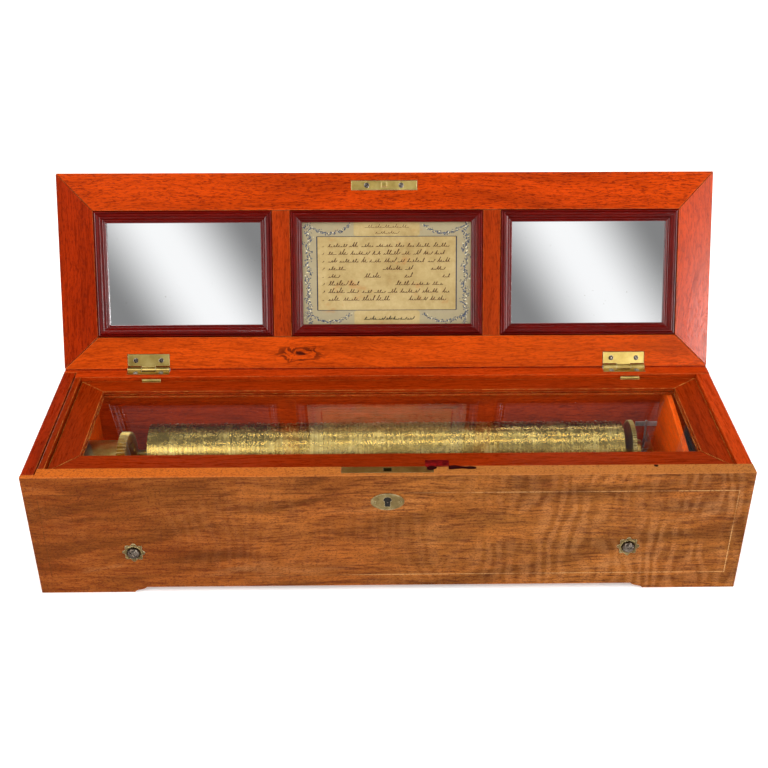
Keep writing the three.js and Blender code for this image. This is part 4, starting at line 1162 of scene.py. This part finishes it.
# ---- ribbon
def strip_of(path, width, across, thick, ripple):
    """Closed strip along points (y, z): a row of points over and under, with gentle ripples."""
    bm = bmesh.new()
    rows = []
    start, end = width
    last = len(path) - 1
    for i, (y, z) in enumerate(path):
        upper, lower = [], []
        for j in range(across + 1):
            s = j / across
            x = start + (end - start) * s
            lift = abs(ripple * math.sin(7 * s + i * 0.35) * math.sin(math.pi * i / last))
            skew = 0.6 * MM * math.sin(2.2 * s + 0.6)
            upper.append((x, y + skew, z + lift + thick))
            lower.append((x, y + skew, z + lift))
        rows.append(upper + lower[::-1])
    loft(bm, rows)
    return bm


def make_ribbon():
    """The silk pull: a strip laid over the rail and the case's edge, its knot and its tail, the knot and tail
    in near-black silk as painted shade.
    """
    low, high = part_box("ribbon_pull")
    case_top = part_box("front_panel")[1].z
    rail_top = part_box("glass_frame_front")[1].z
    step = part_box("glass_frame_front")[0].y
    points = []
    steps = 40
    start, end = step + 11.5 * MM, low.y + 6.4 * MM
    for i in range(steps + 1):
        y = start + (end - start) * i / steps
        climb = 1 / (1 + math.exp((y - (step - 0.9 * MM)) / (0.35 * MM)))
        points.append((y, rail_top + (case_top - rail_top) * climb + 0.04 * MM))
    width = (low.x + 0.3 * MM, high.x - 0.3 * MM)
    bm = strip_of(points, width, 12, 0.22 * MM, 0.26 * MM)
    piece = piece_of("ribbon_strip", bm, "ribbon", "glass_lid", "ribbon", ["ribbon_pull"], 60)
    length = sum((Vector(b) - Vector(a)).length for a, b in zip(points, points[1:]))
    make_ribbon_knot(high.x, step, case_top)
    make_ribbon_loop(low, step, case_top)


def gathered(name, steps, around, section):
    """A creased closed roll of silk: section(t, angle) gives its points from one end to the other."""
    bm = bmesh.new()
    angles = [2 * math.pi * k / around for k in range(around)]
    loft(bm, [[section(i / steps, angle) for angle in angles] for i in range(steps + 1)])
    # the near-black silk is painted shade of the creases and folds, not the ribbon's own colour
    piece_of(name, bm, "ribbon_painted_shade", "glass_lid", "ribbon", smooth=60)


def make_ribbon_knot(x, step, case_top):
    """The gathered end of the ribbon: a flat knot on the case's edge and a narrow tail along it."""
    def section(t, angle):
        half = (1.7 * (1 - t) ** 0.5 + 1.5) * MM * (1 + 0.18 * math.sin(9 * t))
        thick = (0.3 * math.exp(-5 * t) + 0.35) * MM
        crease = 1 + 0.22 * math.sin(3 * angle + 7 * t)
        rise = thick * (0.5 + 0.5 * math.sin(angle) * crease) * 0.8 + 0.06 * MM
        y = step - (3.6 - 0.5 * math.sin(4 * t)) * MM + half * math.cos(angle) * crease * 0.7
        return Vector((x - 1.2 * MM + 21 * MM * t, y, case_top + rise))

    gathered("ribbon_knot", 24, 12, section)


def make_ribbon_loop(low, step, case_top):
    """The small loop that hangs from the strip on to the lock's plate, near-black as painted shadow on the
    plate.
    """
    def section(t, angle):
        half = (2.3 * math.sin(math.pi * (0.12 + 0.8 * t)) + 0.3) * MM
        rise = 0.28 * MM * (1 + math.sin(angle)) * (1 + 0.2 * math.sin(5 * t + angle))
        y = step - (4.1 - 0.8 * t) * MM + half * math.cos(angle)
        return Vector((low.x + (1.2 + 7.5 * t) * MM, y, case_top + 0.05 * MM + rise))

    gathered("ribbon_loop", 20, 10, section)


# ---- the whole
make_camera()
make_woods()
make_metals()
make_glass()
make_paper()
make_inks()
make_ribbon_finish()
make_studio()
dress_rows(CASE_WOOD + LIDS)
make_lipping()
make_mouldings()
make_writing()
make_border()
make_fittings()
make_rosettes()
make_escutcheon()
make_cylinder()
make_comb()
make_train()
make_ribbon()
bpy.context.scene.view_settings.view_transform = "Standard"
